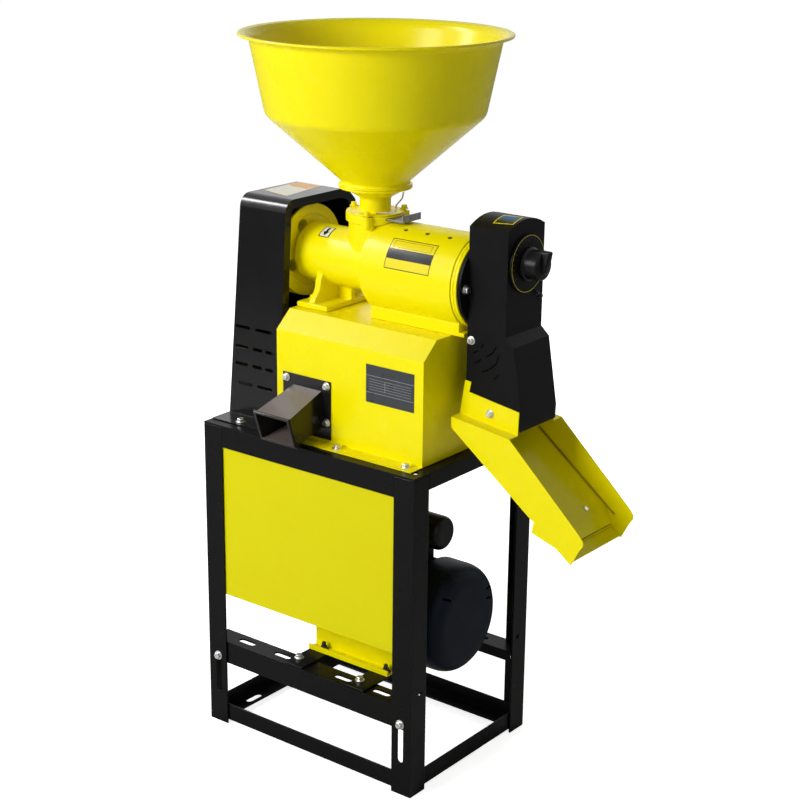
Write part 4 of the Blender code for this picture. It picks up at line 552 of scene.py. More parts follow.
def makeDuctRim():
    r = rimForm
    lean = (r["high"][1] - r["low"][1]) / (r["high"][2] - r["low"][2])
    loops = []
    for grow in (r["out"], -r["in"]):
        for back in (0.0, r["thick"]):
            corners = []
            for x, z in ((r["low"][0] - grow, r["low"][2] - grow), (r["high"][0] + grow, r["low"][2] - grow),
                         (r["high"][0] + grow, r["high"][2] + grow), (r["low"][0] - grow, r["high"][2] + grow)):
                corners.append(place(x, r["low"][1] + lean * (z - r["low"][2]) - r["thick"] + back, z))
            loops.append(corners)

    def blockBetween(front, back):
        piece = addCube()
        for vertex in piece.data.vertices:
            corner = (1 if vertex.co.x > 0 else 0) if vertex.co.z < 0 else (2 if vertex.co.x > 0 else 3)
            vertex.co = (front if vertex.co.y < 0 else back)[corner]
        return piece

    rim = blockBetween(loops[0], loops[1])
    reach = Vector((0, 0.004, 0))
    cutWith(rim, blockBetween([corner - reach for corner in loops[2]], [corner + reach for corner in loops[3]]))
    bevelEdges(rim, 0.0009, 3)
    finishPiece(rim, "duct_rim", "ductBlack", angle=35)


makeDuctRim()
print("duct rim folded")

# Inner parts that keep their solids
inner = {
    "steel": ["motor_bearing_drive", "motor_bearing_fan", "shaft_bearing_pulley", "shaft_bearing_mill", "motor_rotor",
              "main_shaft", "milling_blade", "sieve_screen", "pressure_plunger", "pressure_spring"],
    "zinc": ["hopper_clip"],
    "iron": ["milling_roller", "feed_screw"],
    "core": ["motor_stator"],
    "plasticBlack": ["motor_fan"],
    "rubber": ["v_belt_left", "v_belt_right"],
}
for finish, names in inner.items():
    for name in names:
        for holder in nodes[name].material_slots:
            holder.material = finishes[finish]
print("inner parts finished")


# Hopper and feed neck spun from sheet

hopperForm = {"mouth": 0.1885, "shoulder": 0.166, "foot": 0.052, "ring": 0.0565, "sheet": 0.0012,
              "bead": 0.0023, "rim": 0.205, "top": 1.136, "shoulderZ": 1.016, "footZ": 0.915, "baseZ": 0.9083,
              "throat": 0.0487, "flange": 0.0025, "mouthZ": 1.1265, "flareZ": 1.1337, "flare": 0.1955}


def makeHopper():
    h = hopperForm
    beadZ, beadR = h["top"] - h["bead"], h["rim"] - h["bead"]
    flangeTop = h["baseZ"] + h["flange"]
    outer = [(h["baseZ"], h["throat"]), (h["baseZ"], h["ring"]), (flangeTop, h["ring"]),
             (flangeTop, h["foot"] + h["sheet"]), (h["footZ"], h["foot"]), (h["shoulderZ"], h["shoulder"]),
             (h["mouthZ"], h["mouth"]), (h["flareZ"], h["flare"]), (beadZ, beadR - h["bead"] * 0.9)]
    outer = rounded(outer, {1: 0.0008, 2: 0.0008, 3: 0.0012, 4: 0.002, 5: 0.007, 6: 0.005, 7: 0.002}, 5)
    bead = []
    for k in range(11):
        turn = math.radians(-150 + 250 * k / 10)
        bead.append((beadZ + h["bead"] * math.sin(turn), beadR + h["bead"] * math.cos(turn)))
    inside = [(h["top"] - 0.0006, 0.199), (1.1347, 0.1945), (1.1268, h["mouth"] - h["sheet"]),
              (h["shoulderZ"] + 0.0006, h["shoulder"] - h["sheet"]), (h["footZ"] + 0.0017, h["foot"] - 0.0006),
              (h["baseZ"] + 0.002, h["throat"])]
    inside = rounded(inside, {1: 0.002, 2: 0.005, 3: 0.007, 4: 0.002}, 5)
    piece = spinHopper(outer[:-1] + bead + inside, 144)
    replaceNode(piece, "hopper", "sheetYellow", angle=40)


neckForm = {"base": 0.8673, "bore": 0.0225, "flange": 0.044, "tube": 0.024, "tubeTop": 0.89, "top": 0.908,
            "ring": 0.0565, "cone": 0.05, "throat": 0.0487, "sheet": 0.002, "lip": 0.003}


def makeNeck():
    n = neckForm
    flangeTop, lipBase = n["base"] + n["sheet"], n["top"] - n["lip"]
    outline = [(n["base"], n["bore"]), (n["base"], n["flange"]), (flangeTop, n["flange"]),
               (flangeTop, n["tube"]), (n["tubeTop"], n["tube"]), (lipBase, n["cone"]),
               (lipBase, n["ring"]), (n["top"], n["ring"]), (n["top"], n["throat"]),
               (n["tubeTop"] + 0.0006, n["bore"])]
    outline = rounded(outline, {1: 0.0006, 2: 0.0006, 3: 0.0015, 4: 0.004, 5: 0.002, 6: 0.0008, 7: 0.0008, 9: 0.003}, 4)
    piece = spinHopper(outline, 112)
    replaceNode(piece, "feed_neck", "sheetYellow", angle=40)


makeHopper()
makeNeck()
print("hopper built")


# Belt drive

drive = {"plane": -0.134, "rim": 0.035, "pitch": 0.015, "grooveTop": 0.0131, "grooveFloor": 0.008, "grooveDeep": 0.0115,
         "main": 0.073, "motor": 0.042, "inside": 0.058, "web": 0.005, "face": -0.1187, "hub": 0.028, "hole": 0.011,
         "circle": 0.044, "angle": 114.0, "shaft": 0.0153, "motorShaft": 0.0123}


def rimOutline(radius):
    left = drive["plane"] - drive["rim"] / 2
    line = [(left, radius)]
    for side in (-1, 1):
        x = drive["plane"] + side * drive["pitch"] / 2
        line += [(x - drive["grooveTop"] / 2, radius), (x - drive["grooveFloor"] / 2, radius - drive["grooveDeep"]),
                 (x + drive["grooveFloor"] / 2, radius - drive["grooveDeep"]), (x + drive["grooveTop"] / 2, radius)]
    return line + [(left + drive["rim"], radius)]


def makePulleys():
    d = drive
    left, right = d["plane"] - d["rim"] / 2, d["plane"] + d["rim"] / 2
    outline = rimOutline(d["main"]) + [
        (right, d["inside"]), (d["face"], d["inside"] - 0.0015), (d["face"], d["hub"]),
        (right, d["hub"]), (right, d["shaft"]), (left, d["shaft"]), (left, d["hub"]),
        (d["plane"] - d["web"], d["hub"]), (d["plane"] - d["web"], d["inside"] - 0.003), (left, d["inside"])]
    soft = {**dict.fromkeys((0, 9, 11, 12), 0.0007), **dict.fromkeys((10, 13, 16, 19), 0.0012), 17: 0.002, 18: 0.003}
    piece = spinShaft(rounded(outline, soft, 3), 112)
    for k in range(4):
        y, z = polar(d["circle"], d["angle"] + 90 * k, mill["shaftZ"])
        cutWith(piece, rod((left - 0.004, y, z), (right + 0.004, y, z), d["hole"], 40))
    bevelEdges(piece, 0.0005, 1, 50)
    replaceNode(piece, "main_pulley", "castYellow", "main_rotor")
    outline = rimOutline(d["motor"]) + [(right, d["motorShaft"]), (left, d["motorShaft"])]
    piece = spinPiece(rounded(outline, {0: 0.0007, 9: 0.0007}, 3), "X", (0, mill["motorZ"]), 80)
    replaceNode(piece, "motor_pulley", "iron", "motor_spindle")


makePulleys()
print("pulleys built")


# Milling cylinder, end ring and end plate

cylinderForm = {"left": 0.0385, "right": 0.206, "radius": 0.07, "bore": 0.062, "wall": 0.006, "mouth": 0.0333,
                "saddleTop": 0.733, "saddleY": 0.044, "saddleBase": 0.7138, "ringRight": 0.216,
                "screwXs": (0.0916, 0.1319, 0.1731), "screwAngle": 111.0, "screwHole": 0.0038, "screw": 0.0036,
                "screwInner": 0.0622, "screwOuter": 0.0686, "socket": 0.0018, "socketInner": 0.0665}


def radialRod(x, inner, outer, radius, sides):
    degrees, axis = cylinderForm["screwAngle"], mill["shaftZ"]
    return rod((x, *polar(inner, degrees, axis)), (x, *polar(outer, degrees, axis)), radius, sides)


def makeCylinder():
    c = cylinderForm
    outline = [(c["left"], c["mouth"]), (c["left"], c["radius"]), (c["right"], c["radius"]), (c["right"], 0.02)]
    outline = rounded(outline, {1: 0.0012, 2: 0.0008}, 3)
    outline += [(c["left"] + 0.02, 0.02), (c["left"] + 0.02, c["mouth"])]
    piece = spinShaft(outline, 128)
    saddle = roundedBox((c["left"] + 0.0015, -c["saddleY"], c["saddleBase"]),
                        (c["right"] - 0.0005, c["saddleY"], c["saddleTop"]), 0.0012, 3)
    cutWith(piece, saddle, "UNION")
    ledge = roundedBox((c["right"] - 0.03, -c["saddleY"], c["saddleBase"]),
                       (c["ringRight"] - 0.001, c["saddleY"], mill["shaftZ"] - 0.0687), 0.0008, 2)
    cutWith(piece, ledge, "UNION")
    cutWith(piece, roundedBox((0.06, -0.03, c["saddleBase"] - 0.01), (0.19, 0.03, 0.7475), 0))
    for x in c["screwXs"]:
        cutWith(piece, radialRod(x, 0.05, 0.09, c["screwHole"], 28))
    hollow = spinPiece([(c["left"] - 0.01, 0), (c["left"] - 0.01, c["mouth"]), (c["left"] + c["wall"], c["mouth"]),
                        (c["left"] + c["wall"], c["bore"]), (c["right"] + 0.01, c["bore"]), (c["right"] + 0.01, 0)],
                       "X", (0, mill["shaftZ"]), 128)
    cutWith(piece, hollow)
    bevelEdges(piece, 0.0006, 2, 50)
    replaceNode(piece, "milling_cylinder", "castYellow")
    flattenShading(piece)
    screws = []
    for x in c["screwXs"]:
        screw = radialRod(x, c["screwInner"], c["screwOuter"], c["screw"], 24)
        cutWith(screw, radialRod(x, c["socketInner"], 0.09, c["socket"], 6))
        bevelEdges(screw, 0.0003, 1)
        screws.append(screw)
    finishPiece(joinPieces(screws), "cylinder_screws", "boltBlack")


ringForm = {"left": 0.2063, "right": 0.216, "radius": 0.068, "bore": 0.046, "port": 0.013, "boltY": 0.0525,
            "innerY": 0.03, "innerZ": 0.7455, "plateLeft": 0.2163, "plateRight": 0.222, "plateRadius": 0.066}


def drillEnd(piece):
    r = ringForm
    cutWith(piece, rod((r["left"] - 0.01, 0, mill["portZ"]), (r["plateRight"] + 0.01, 0, mill["portZ"]), r["port"], 48))
    for out, z in ((r["boltY"], mill["shaftZ"]), (r["innerY"], r["innerZ"])):
        for y in (-out, out):
            cutWith(piece, rod((r["left"] - 0.01, y, z), (r["plateRight"] + 0.01, y, z), 0.0025, 20))


def makeEnd():
    r = ringForm
    outline = [(r["left"], r["bore"]), (r["left"], r["radius"]), (r["left"] + 0.0042, r["radius"]),
               (r["left"] + 0.0046, r["radius"] - 0.001), (r["left"] + 0.0052, r["radius"] - 0.001),
               (r["left"] + 0.0056, r["radius"]), (r["right"], r["radius"]), (r["right"], r["bore"])]
    ring = spinShaft(rounded(outline, {1: 0.0006, 6: 0.001}, 3), 128)
    drillEnd(ring)
    replaceNode(ring, "end_ring", "castYellow")
    outline = [(r["plateLeft"], 0), (r["plateLeft"], r["plateRadius"]), (r["plateRight"], r["plateRadius"]),
               (r["plateRight"], 0)]
    plate = spinShaft(rounded(outline, {1: 0.0005, 2: 0.0008}, 3), 128)
    drillEnd(plate)
    replaceNode(plate, "end_plate", "casingBlack")


makeCylinder()
makeEnd()
print("milling cylinder built")


# Main casting with its feed head, lugs, web and pad

castForm = {
    "neckLeft": -0.112, "neck": 0.0456, "flangeLeft": 0.032, "flange": 0.0657, "right": 0.0382,
    "head": 0.0405, "collarZ": 0.854, "collar": 0.0448, "lug": 0.0083, "lugCircle": 0.046, "lugBase": 0.849,
    "lugAngles": (-66, 54, 174), "padLow": (-0.0913, -0.0638, 0.7139), "padHigh": (-0.0302, 0.0638, 0.7221),
    "padBolts": ((-0.081, -0.037), (-0.081, 0.037)), "voxel": 0.0013,
    "webLow": (-0.0698, -0.0618, 0.7205), "webHigh": (-0.0582, 0.0618, 0.7685), "webTaper": 0.64,
    "ribLow": (-0.066, -0.0048, 0.7205), "ribHigh": (-0.031, 0.0048, 0.7455),
    "scoop": 0.0335, "scoopY": 0.079, "scoopZ": 0.7555, "scoopLeft": -0.09, "scoopRight": -0.04,
    "seat": 0.0715, "slotLow": (-0.0146, -0.0226, 0.861), "slotHigh": (0.07, 0.0226, 0.8646),
    "bearing": 0.0313, "bearingEnd": -0.03, "seal": 0.0165, "screwStart": -0.024, "screwBore": 0.033,
    "feed": 0.02, "lugHole": 0.0025, "lugHoleZ": 0.859, "padHole": 0.0035,
}


def lugSpots():
    turned = [polar(castForm["lugCircle"], degrees) for degrees in castForm["lugAngles"]]
    return [(mill["hopperX"] + x, y) for x, y in turned]


def makeCasting():
    c = castForm
    axis = mill["shaftZ"]
    piece = spinPiece([(c["neckLeft"], 0), (c["neckLeft"], c["neck"]), (c["flangeLeft"] - 0.004, c["neck"]),
                       (c["flangeLeft"], c["neck"] + 0.003), (c["flangeLeft"], c["flange"]), (c["right"], c["flange"]),
                       (c["right"], 0)], "X", (0, axis), 96)
    head = spinPiece([(axis + 0.02, 0), (axis + 0.02, c["head"]), (c["collarZ"], c["head"]),
                      (c["collarZ"], c["collar"]), (mill["headTop"], c["collar"]), (mill["headTop"], 0)],
                     "Z", (mill["hopperX"], 0), 96)
    cutWith(piece, head, "UNION")
    for x, y in lugSpots():
        cutWith(piece, rod((x, y, c["lugBase"]), (x, y, mill["headTop"] - 0.0003), c["lug"], 40), "UNION")
    web = roundedBox(c["webLow"], c["webHigh"], 0)
    for vertex in web.data.vertices:
        if vertex.co.z > c["scoopZ"]:
            vertex.co.y *= c["webTaper"]
    cutWith(piece, web, "UNION")
    for y in (-c["scoopY"], c["scoopY"]):
        cutWith(piece, rod((c["scoopLeft"], y, c["scoopZ"]), (c["scoopRight"], y, c["scoopZ"]), c["scoop"], 48))
    cutWith(piece, roundedBox(c["padLow"], c["padHigh"], 0), "UNION")
    cutWith(piece, roundedBox(c["ribLow"], c["ribHigh"], 0), "UNION")
    applyModifier(piece, "REMESH", mode="VOXEL", voxel_size=c["voxel"], use_smooth_shade=True)
    applyModifier(piece, "SMOOTH", factor=0.5, iterations=5)
    room = [(c["right"], 0), (c["right"], c["seat"]), (0.07, c["seat"]), (0.07, 0)]
    cutWith(piece, spinShaft(room, 128))
    cutWith(piece, roundedBox(c["slotLow"], c["slotHigh"], 0))
    start = c["neckLeft"] - 0.01
    bore = [(start, 0), (start, c["bearing"]), (c["bearingEnd"], c["bearing"]), (c["bearingEnd"], c["seal"]),
            (c["screwStart"], c["seal"]), (c["screwStart"], c["screwBore"]), (0.05, c["screwBore"]), (0.05, 0)]
    cutWith(piece, spinShaft(bore, 96))
    cutWith(piece, rod((mill["hopperX"], 0, axis + 0.01), (mill["hopperX"], 0, 0.88), c["feed"], 64))
    for x, y in lugSpots():
        cutWith(piece, rod((x, y, c["lugHoleZ"]), (x, y, 0.88), c["lugHole"], 20))
    for x, y in c["padBolts"]:
        cutWith(piece, rod((x, y, 0.70), (x, y, 0.74), c["padHole"], 20))
    replaceNode(piece, "main_casting", "castYellow", angle=45)


makeCasting()
print("casting built")


# Motor

motorForm = {"left": -0.05, "right": 0.128, "fin": 0.081, "nose": 0.036, "shaft": 0.0126, "seat": 0.0263,
             "bearing": 0.015, "coverLeft": 0.1405, "coverRight": 0.202, "cover": 0.088, "dome": 0.032, "sheet": 0.0015,
             "ventRows": ((0.016, 5), (0.032, 9), (0.048, 14)), "vent": 0.0036}


def makeMotor():
    m = motorForm
    centre = (0, mill["motorZ"])
    dressCopy("motor_housing", "motorNavy", 0.0005, 1, angle=25)
    seatLeft = m["left"] - m["nose"] + 0.003
    outline = [(m["left"] - 0.0003, m["fin"]), (m["left"] - 0.012, m["fin"]), (m["left"] - 0.028, 0.048),
               (m["left"] - m["nose"], 0.034), (m["left"] - m["nose"], m["shaft"]), (seatLeft, m["shaft"]),
               (seatLeft, m["seat"]), (seatLeft + m["bearing"], m["seat"]), (m["left"] - 0.014, 0.05),
               (m["left"] - 0.0003, 0.07)]
    piece = spinPiece(rounded(outline, {0: 0.0008, 1: 0.005, 2: 0.008, 3: 0.003, 4: 0.001}, 4), "X", centre, 112)
    replaceNode(piece, "motor_end_bell_drive", "motorNavy")
    seat = m["right"] - 0.006
    rimLeft, rimRight = m["coverLeft"] - 0.004, m["coverLeft"] - 0.0003
    outline = [(m["right"] + 0.0003, m["fin"]), (rimLeft, m["fin"]), (rimLeft, m["cover"]),
               (rimRight, m["cover"]), (rimRight, m["shaft"]),
               (seat + m["bearing"], m["shaft"]), (seat + m["bearing"], m["seat"]), (seat, m["seat"]),
               (seat, m["seat"] + 0.004), (m["right"] + 0.0003, m["seat"] + 0.008)]
    piece = spinPiece(rounded(outline, {0: 0.0006, 2: 0.0006, 3: 0.0006}, 3), "X", centre, 112)
    replaceNode(piece, "motor_end_bell_fan", "motorNavy")


def makeFanCover():
    m = motorForm
    centre = (0, mill["motorZ"])
    outer = rounded([(m["coverLeft"], m["cover"]), (m["coverRight"], m["cover"]), (m["coverRight"], 0)],
                    {1: m["dome"]}, 12)
    inner = rounded([(m["coverRight"] - m["sheet"], 0), (m["coverRight"] - m["sheet"], m["cover"] - m["sheet"]),
                     (m["coverLeft"], m["cover"] - m["sheet"])], {1: m["dome"] - m["sheet"]}, 12)
    piece = spinPiece(outer + inner, "X", centre, 112)
    for radius, count in m["ventRows"]:
        ring = None
        for k in range(count):
            near, far = m["coverRight"] - 0.02, m["coverRight"] + 0.02
            low, high = radius - m["vent"] / 2, radius + m["vent"] / 2
            slot = spinPiece([(near, low), (far, low), (far, high), (near, high)], "X", centre, 6, 2 * 126 / count)
            editMesh(slot)
            bpy.ops.mesh.region_to_loop()
            bpy.ops.mesh.fill_holes(sides=0)
            bpy.ops.mesh.select_all(action="SELECT")
            bpy.ops.mesh.normals_make_consistent(inside=False)
            leaveMesh()
            turnAboutX(slot, centre[1], math.radians(360 * k / count + 12))
            ring = joinPieces([ring, slot]) if ring else slot
        cutWith(piece, ring)
    replaceNode(piece, "motor_fan_cover", "motorNavy")


capacitorForm = {"left": 0.02, "right": 0.157, "radius": 0.0275, "z": 0.376, "dome": 0.012, "saddleLeft": 0.05,
                 "saddleRight": 0.12, "saddleHalf": 0.02, "baseZ": 0.3198}


def makeCapacitor():
    c = capacitorForm
    piece = spinPiece(rounded([(c["left"], 0), (c["left"], c["radius"]), (c["right"], c["radius"]), (c["right"], 0)],
                              {1: c["dome"], 2: c["dome"]}, 8), "X", (0, c["z"]), 80)
    saddle = roundedBox((c["saddleLeft"], -c["saddleHalf"], c["baseZ"] - 0.004),
                        (c["saddleRight"], c["saddleHalf"], c["z"] - 0.012), 0.0015, 3)
    barrel = rod((c["saddleLeft"] - 0.01, 0, mill["motorZ"]), (c["saddleRight"] + 0.01, 0, mill["motorZ"]), 0.0814, 96)
    cutWith(saddle, barrel)
    cutWith(piece, saddle, "UNION")
    bevelEdges(piece, 0.0008, 2, 40)
    replaceNode(piece, "capacitor_box", "plasticBlack")


makeMotor()
makeFanCover()
makeCapacitor()
print("motor built")


# Pressure dial and knob

dialForm = {"left": 0.2903, "right": 0.2943, "radius": 0.043, "hole": 0.0059, "tickInner": 0.0345, "tickOuter": 0.0405,
            "ticks": 21, "firstAngle": -30, "sweep": 240}
knobForm = {"left": 0.2946, "base": 0.322, "end": 0.334, "radius": 0.025, "half": 0.0085, "tip": 0.023,
            "tail": 0.011, "slope": 0.0075,
            "flutes": 24, "flute": 0.0013, "fluteTop": 0.0235, "bore": 0.0056, "boreEnd": 0.313}


def makeDial():
    d = dialForm
    outline = [(d["left"], d["hole"]), (d["left"], d["radius"]), (d["right"], d["radius"]), (d["right"], d["hole"])]
    piece = spinPiece(rounded(outline, {1: 0.0006, 2: 0.0014}, 4), "X", (0, mill["portZ"]), 112)
    replaceNode(piece, "pressure_dial", "casingBlack")
    marks = []
    for k in range(d["ticks"]):
        long = k % 5 == 0
        inner = d["tickInner"] - (0.002 if long else 0)
        mark = roundedBox((d["right"] - 0.0002, -0.0004, mill["portZ"] + inner),
                          (d["right"] + 0.00015, 0.0004, mill["portZ"] + d["tickOuter"]), 0.0001, 1)
        spin = math.radians(d["firstAngle"] - 90 + d["sweep"] * k / (d["ticks"] - 1))
        turnAboutX(mark, mill["portZ"], spin)
        marks.append(mark)
    finishPiece(joinPieces(marks), "dial_marks", "plateGrey", angle=0)
    back, front, inner, outer = d["right"] - 0.0003, d["right"] + 0.00012, d["radius"] - 0.0021, d["radius"] - 0.0014
    ring = spinPiece([(back, inner), (front, inner), (front, outer), (back, outer)], "X", (0, mill["portZ"]), 96)
    finishPiece(ring, "dial_ring", "labelYellow", angle=0)


def makeKnob():
    k = knobForm
    outline = [(k["left"], 0), (k["left"], k["radius"]), (k["left"] + 0.004, k["radius"]),
               (k["left"] + 0.006, k["radius"] - 0.003), (k["base"] - 0.002, k["radius"] - 0.004),
               (k["base"], k["radius"] - 0.008), (k["base"], 0)]
    outline = rounded(outline, {1: 0.0006, 2: 0.001, 3: 0.0012, 4: 0.002, 5: 0.0015}, 4)
    piece = spinPiece(outline, "X", (0, mill["portZ"]), 96)
    grip = addCube(place((k["base"] - 0.012 + k["end"]) / 2, 0, mill["portZ"]))
    grip.scale = (k["end"] - k["base"] + 0.012, 2 * k["half"], k["tip"] + k["tail"])
    bakePlace(grip)
    for vertex in grip.data.vertices:
        vertex.co.z += (k["tip"] - k["tail"]) / 2
        if vertex.co.z > mill["portZ"]:
            vertex.co.y *= 0.62
        if vertex.co.x > place(k["base"], 0, 0).x:
            vertex.co.y *= 0.86
            if vertex.co.z < mill["portZ"]:
                vertex.co.x -= k["slope"]
    bevelEdges(grip, 0.0028, 4)
    cutWith(piece, grip, "UNION")
    for step in range(k["flutes"]):
        y, z = polar(k["radius"] + 0.0006, 360 / k["flutes"] * step, mill["portZ"])
        if z - mill["portZ"] <= k["fluteTop"]:
            cutWith(piece, rod((k["left"] - 0.001, y, z), (k["left"] + 0.0052, y, z), k["flute"], 10))
    cutWith(piece, rod((k["left"] - 0.01, 0, mill["portZ"]), (k["boreEnd"], 0, mill["portZ"]), k["bore"], 32))
    bevelEdges(piece, 0.0006, 2, 40)
    replaceNode(piece, "pressure_knob", "plasticBlack", "knob")


makeDial()
makeKnob()
print("dial and knob built")


# Bolts, washers and screws

def makePost(sides, width, height, z):
    clearSelection()
    bpy.ops.mesh.primitive_cylinder_add(vertices=sides, radius=width / 2, depth=height, location=(0, 0, z))
    piece = activePiece()
    bakePlace(piece)
    return piece


# A hexagon head with a chamfered top, its washer and its shank
def makeBolt(size, name):
    head = makePost(6, size["head"], size["high"], size["washerHigh"] + size["high"] / 2)
    editMesh(action="DESELECT", kind="FACE")
    leaveMesh()
    for face in head.data.polygons:
        face.select = face.normal.z > 0.9
    bpy.ops.object.mode_set(mode="EDIT")
    bpy.ops.mesh.inset(thickness=size["head"] * 0.06, depth=size["high"] * 0.12)
    bpy.ops.mesh.inset(thickness=size["head"] * 0.1, depth=-size["high"] * 0.05)
    leaveMesh()
    bevelEdges(head, size["head"] * 0.035)
    washer = makePost(32, size["washer"], size["washerHigh"], size["washerHigh"] / 2)
    bevelEdges(washer, size["washerHigh"] * 0.3)
    shank = makePost(20, size["shank"], size["reach"], -size["reach"] / 2 + size["washerHigh"] / 2)
    bevelEdges(shank, size["shank"] * 0.1, 1)
    bolt = joinPieces([head, washer, shank])
    bolt.name = name
    bpy.ops.object.shade_smooth_by_angle(angle=math.radians(32))
    return bolt


boltSizes = {
    "stand": {"head": 0.0112, "high": 0.0045, "washer": 0.0155, "washerHigh": 0.0014, "shank": 0.0066, "reach": 0.010},
    "small": {"head": 0.0100, "high": 0.0042, "washer": 0.0132, "washerHigh": 0.0011, "shank": 0.0047, "reach": 0.006},
    "tiny": {"head": 0.0060, "high": 0.0030, "washer": 0.0078, "washerHigh": 0.0008, "shank": 0.0030, "reach": 0.003},
}
boltSizes["short"] = {**boltSizes["small"], "reach": 0.0028}
turns = {
    "Z": Matrix.Identity(4),
    "-Z": Matrix.Rotation(math.pi, 4, "X"),
    "-Y": Matrix.Rotation(math.pi / 2, 4, "X"),
    "Y": Matrix.Rotation(-math.pi / 2, 4, "X"),
    "X": Matrix.Rotation(math.pi / 2, 4, "Y"),
}
patterns = {name: makeBolt(boltSizes[name], "pattern_" + name) for name in boltSizes}


def setBolts(name, size, way, spots, finish):
    copies = []
    for k, (x, y, z) in enumerate(spots):
        copy = patterns[size].copy()
        copy.data = patterns[size].data.copy()
        bpy.context.scene.collection.objects.link(copy)
        spin = Matrix.Rotation(0.5 + 1.1 * k, 4, "Z")
        copy.data.transform(Matrix.Translation(place(x, y, z)) @ turns[way] @ spin)
        copies.append(copy)
    finishPiece(joinPieces(copies), name, finish)


both = (-1, 1)
footSpots = [(x, s * 0.081) for x in (-0.024, 0.104) for s in both]
crossSpots = [(x, s * 0.125, 0.1513) for x in (-0.039, 0.087) for s in both]
faces = (("front", "-Y", -1), ("back", "Y", 1))
for end, way, s in faces:
    spots = [(t * 0.190, s * 0.1535, 0.1205) for t in both]
    setBolts("leg_bolts_" + end, "stand", way, spots, "zinc")
setBolts("cross_bolts", "stand", "Z", crossSpots, "zinc")
setBolts("motor_foot_bolts", "stand", "Z", [(x, y, 0.1546) for x, y in footSpots], "boltBlack")
for (end, way, s), middle in zip(faces, (0.04, -0.07)):
    spots = [(x, s * 0.124, 0.5248) for x in (0.172, middle, -0.159)]
    setBolts("flange_bolts_" + end, "stand", "Z", spots, "zinc")
setBolts("end_plate_bolts", "stand", "X", [(0.222, s * ringForm["boltY"], mill["shaftZ"]) for s in both], "zinc")
setBolts("casing_inner_bolts", "small", "X", [(0.22385, s * ringForm["innerY"], ringForm["innerZ"]) for s in both],
         "zinc")
setBolts("feed_neck_bolts", "small", "Z", [(x, y, 0.8693) for x, y in lugSpots()], "castYellow")
setBolts("pad_bolts", "stand", "Z", [(-0.081, s * 0.037, 0.7222) for s in both], "castYellow")
setBolts("duct_bolts", "small", "-Y", [(x, -0.1118, z) for x in (-0.0715, 0.0095) for z in (0.614, 0.556)], "zinc")
for end, way, s in faces:
    spots = [(0.23, s * 0.046, 0.713), (0.268, s * 0.04785, 0.609)]
    setBolts("casing_bolts_" + end, "short", way, spots, "zinc")
studs = []
for x, y in footSpots:
    stud = rod((x, y, 0.150), (x, y, 0.1675), 0.0031, 20)
    bevelEdges(stud, 0.0006)
    studs += [stud] + [rod((x, y, 0.1612 + 0.0011 * k), (x, y, 0.16165 + 0.0011 * k), 0.0034, 20) for k in range(5)]
finishPiece(joinPieces(studs), "motor_foot_studs", "boltBlack")
setBolts("dial_screws", "tiny", "X", [(0.2903, 0.030, 0.7800), (0.2903, 0.0385, 0.7740)], "boltBlack")
for pattern in patterns.values():
    bpy.data.objects.remove(pattern, do_unlink=True)
print("bolts set")


# Stickers and plates, all bare

def stickerSheet(name, lines, rows, toPoint, pick, thickness=0.00018):
    clearSelection()
    bpy.ops.mesh.primitive_grid_add(x_subdivisions=len(lines) - 1, y_subdivisions=len(rows) - 1, size=2)
    piece = activePiece()
    columns = len(lines)
    for k, vertex in enumerate(piece.data.vertices):
        vertex.co = toPoint(lines[k % columns], rows[k // columns])
    chosen = []
    for face in piece.data.polygons:
        column = min(v % columns for v in face.vertices)
        row = min(v // columns for v in face.vertices)
        chosen.append(pick(0.5 * (lines[column] + lines[column + 1]), 0.5 * (rows[row] + rows[row + 1])))
    kinds = sorted(set(chosen))
    applyModifier(piece, "SOLIDIFY", thickness=thickness, offset=1.0)
    finishPiece(piece, name, kinds[0], angle=30)
    for kind in kinds[1:]:
        piece.data.materials.append(finishes[kind])
    faces = len(chosen)
    for k, face in enumerate(piece.data.polygons):
        face.material_index = kinds.index(chosen[k % faces]) if k < 2 * faces else 0


def spread(cuts, most):
    line = [cuts[0]]
    for a, b in zip(cuts, cuts[1:]):
        steps = max(1, math.ceil(abs(b - a) / most))
        line += [a + (b - a) * k / steps for k in range(1, steps + 1)]
    return line


def onCylinder(radius):
    return lambda x, degrees: place(x, *polar(radius, degrees, mill["shaftZ"]))


def inside(value, line, low, high):
    return line[low] < value < line[high]


# Cuts in x, in metres, and round the cylinder, in degrees: edge, inner box with its frame, and dark band
bandForm = {"xs": (0.0836, 0.0847, 0.0900, 0.0906, 0.1584, 0.1590, 0.1653, 0.1664),
            "angles": (128.0, 129.0, 131.0, 131.4, 140.0, 140.4, 142.2, 155.4, 167.0, 168.0), "radius": 0.07002}


def bandLabel(x, degrees):
    xs, angles = bandForm["xs"], bandForm["angles"]
    inEdge = inside(x, xs, 1, 6) and inside(degrees, angles, 1, 8)
    inBox = inside(x, xs, 2, 5) and inside(degrees, angles, 2, 5)
    inFrame = inside(x, xs, 3, 4) and inside(degrees, angles, 3, 4)
    dark = not inEdge or inside(degrees, angles, 6, 7) or (inBox and not inFrame)
    return "labelBlack" if dark else "labelYellow"


stickerSheet("cylinder_label", spread(bandForm["xs"], 0.012), spread(bandForm["angles"][::-1], 2.5),
             onCylinder(bandForm["radius"]), bandLabel)

arrowForm = {"xs": (-0.075, -0.0735, -0.0565, -0.055), "angles": (105.0, 106.3, 108.5, 119.5, 130.5, 132.7, 134.0),
             "middle": 0.065, "headHalf": 0.0062, "tailHalf": 0.0022, "radius": 0.04605}


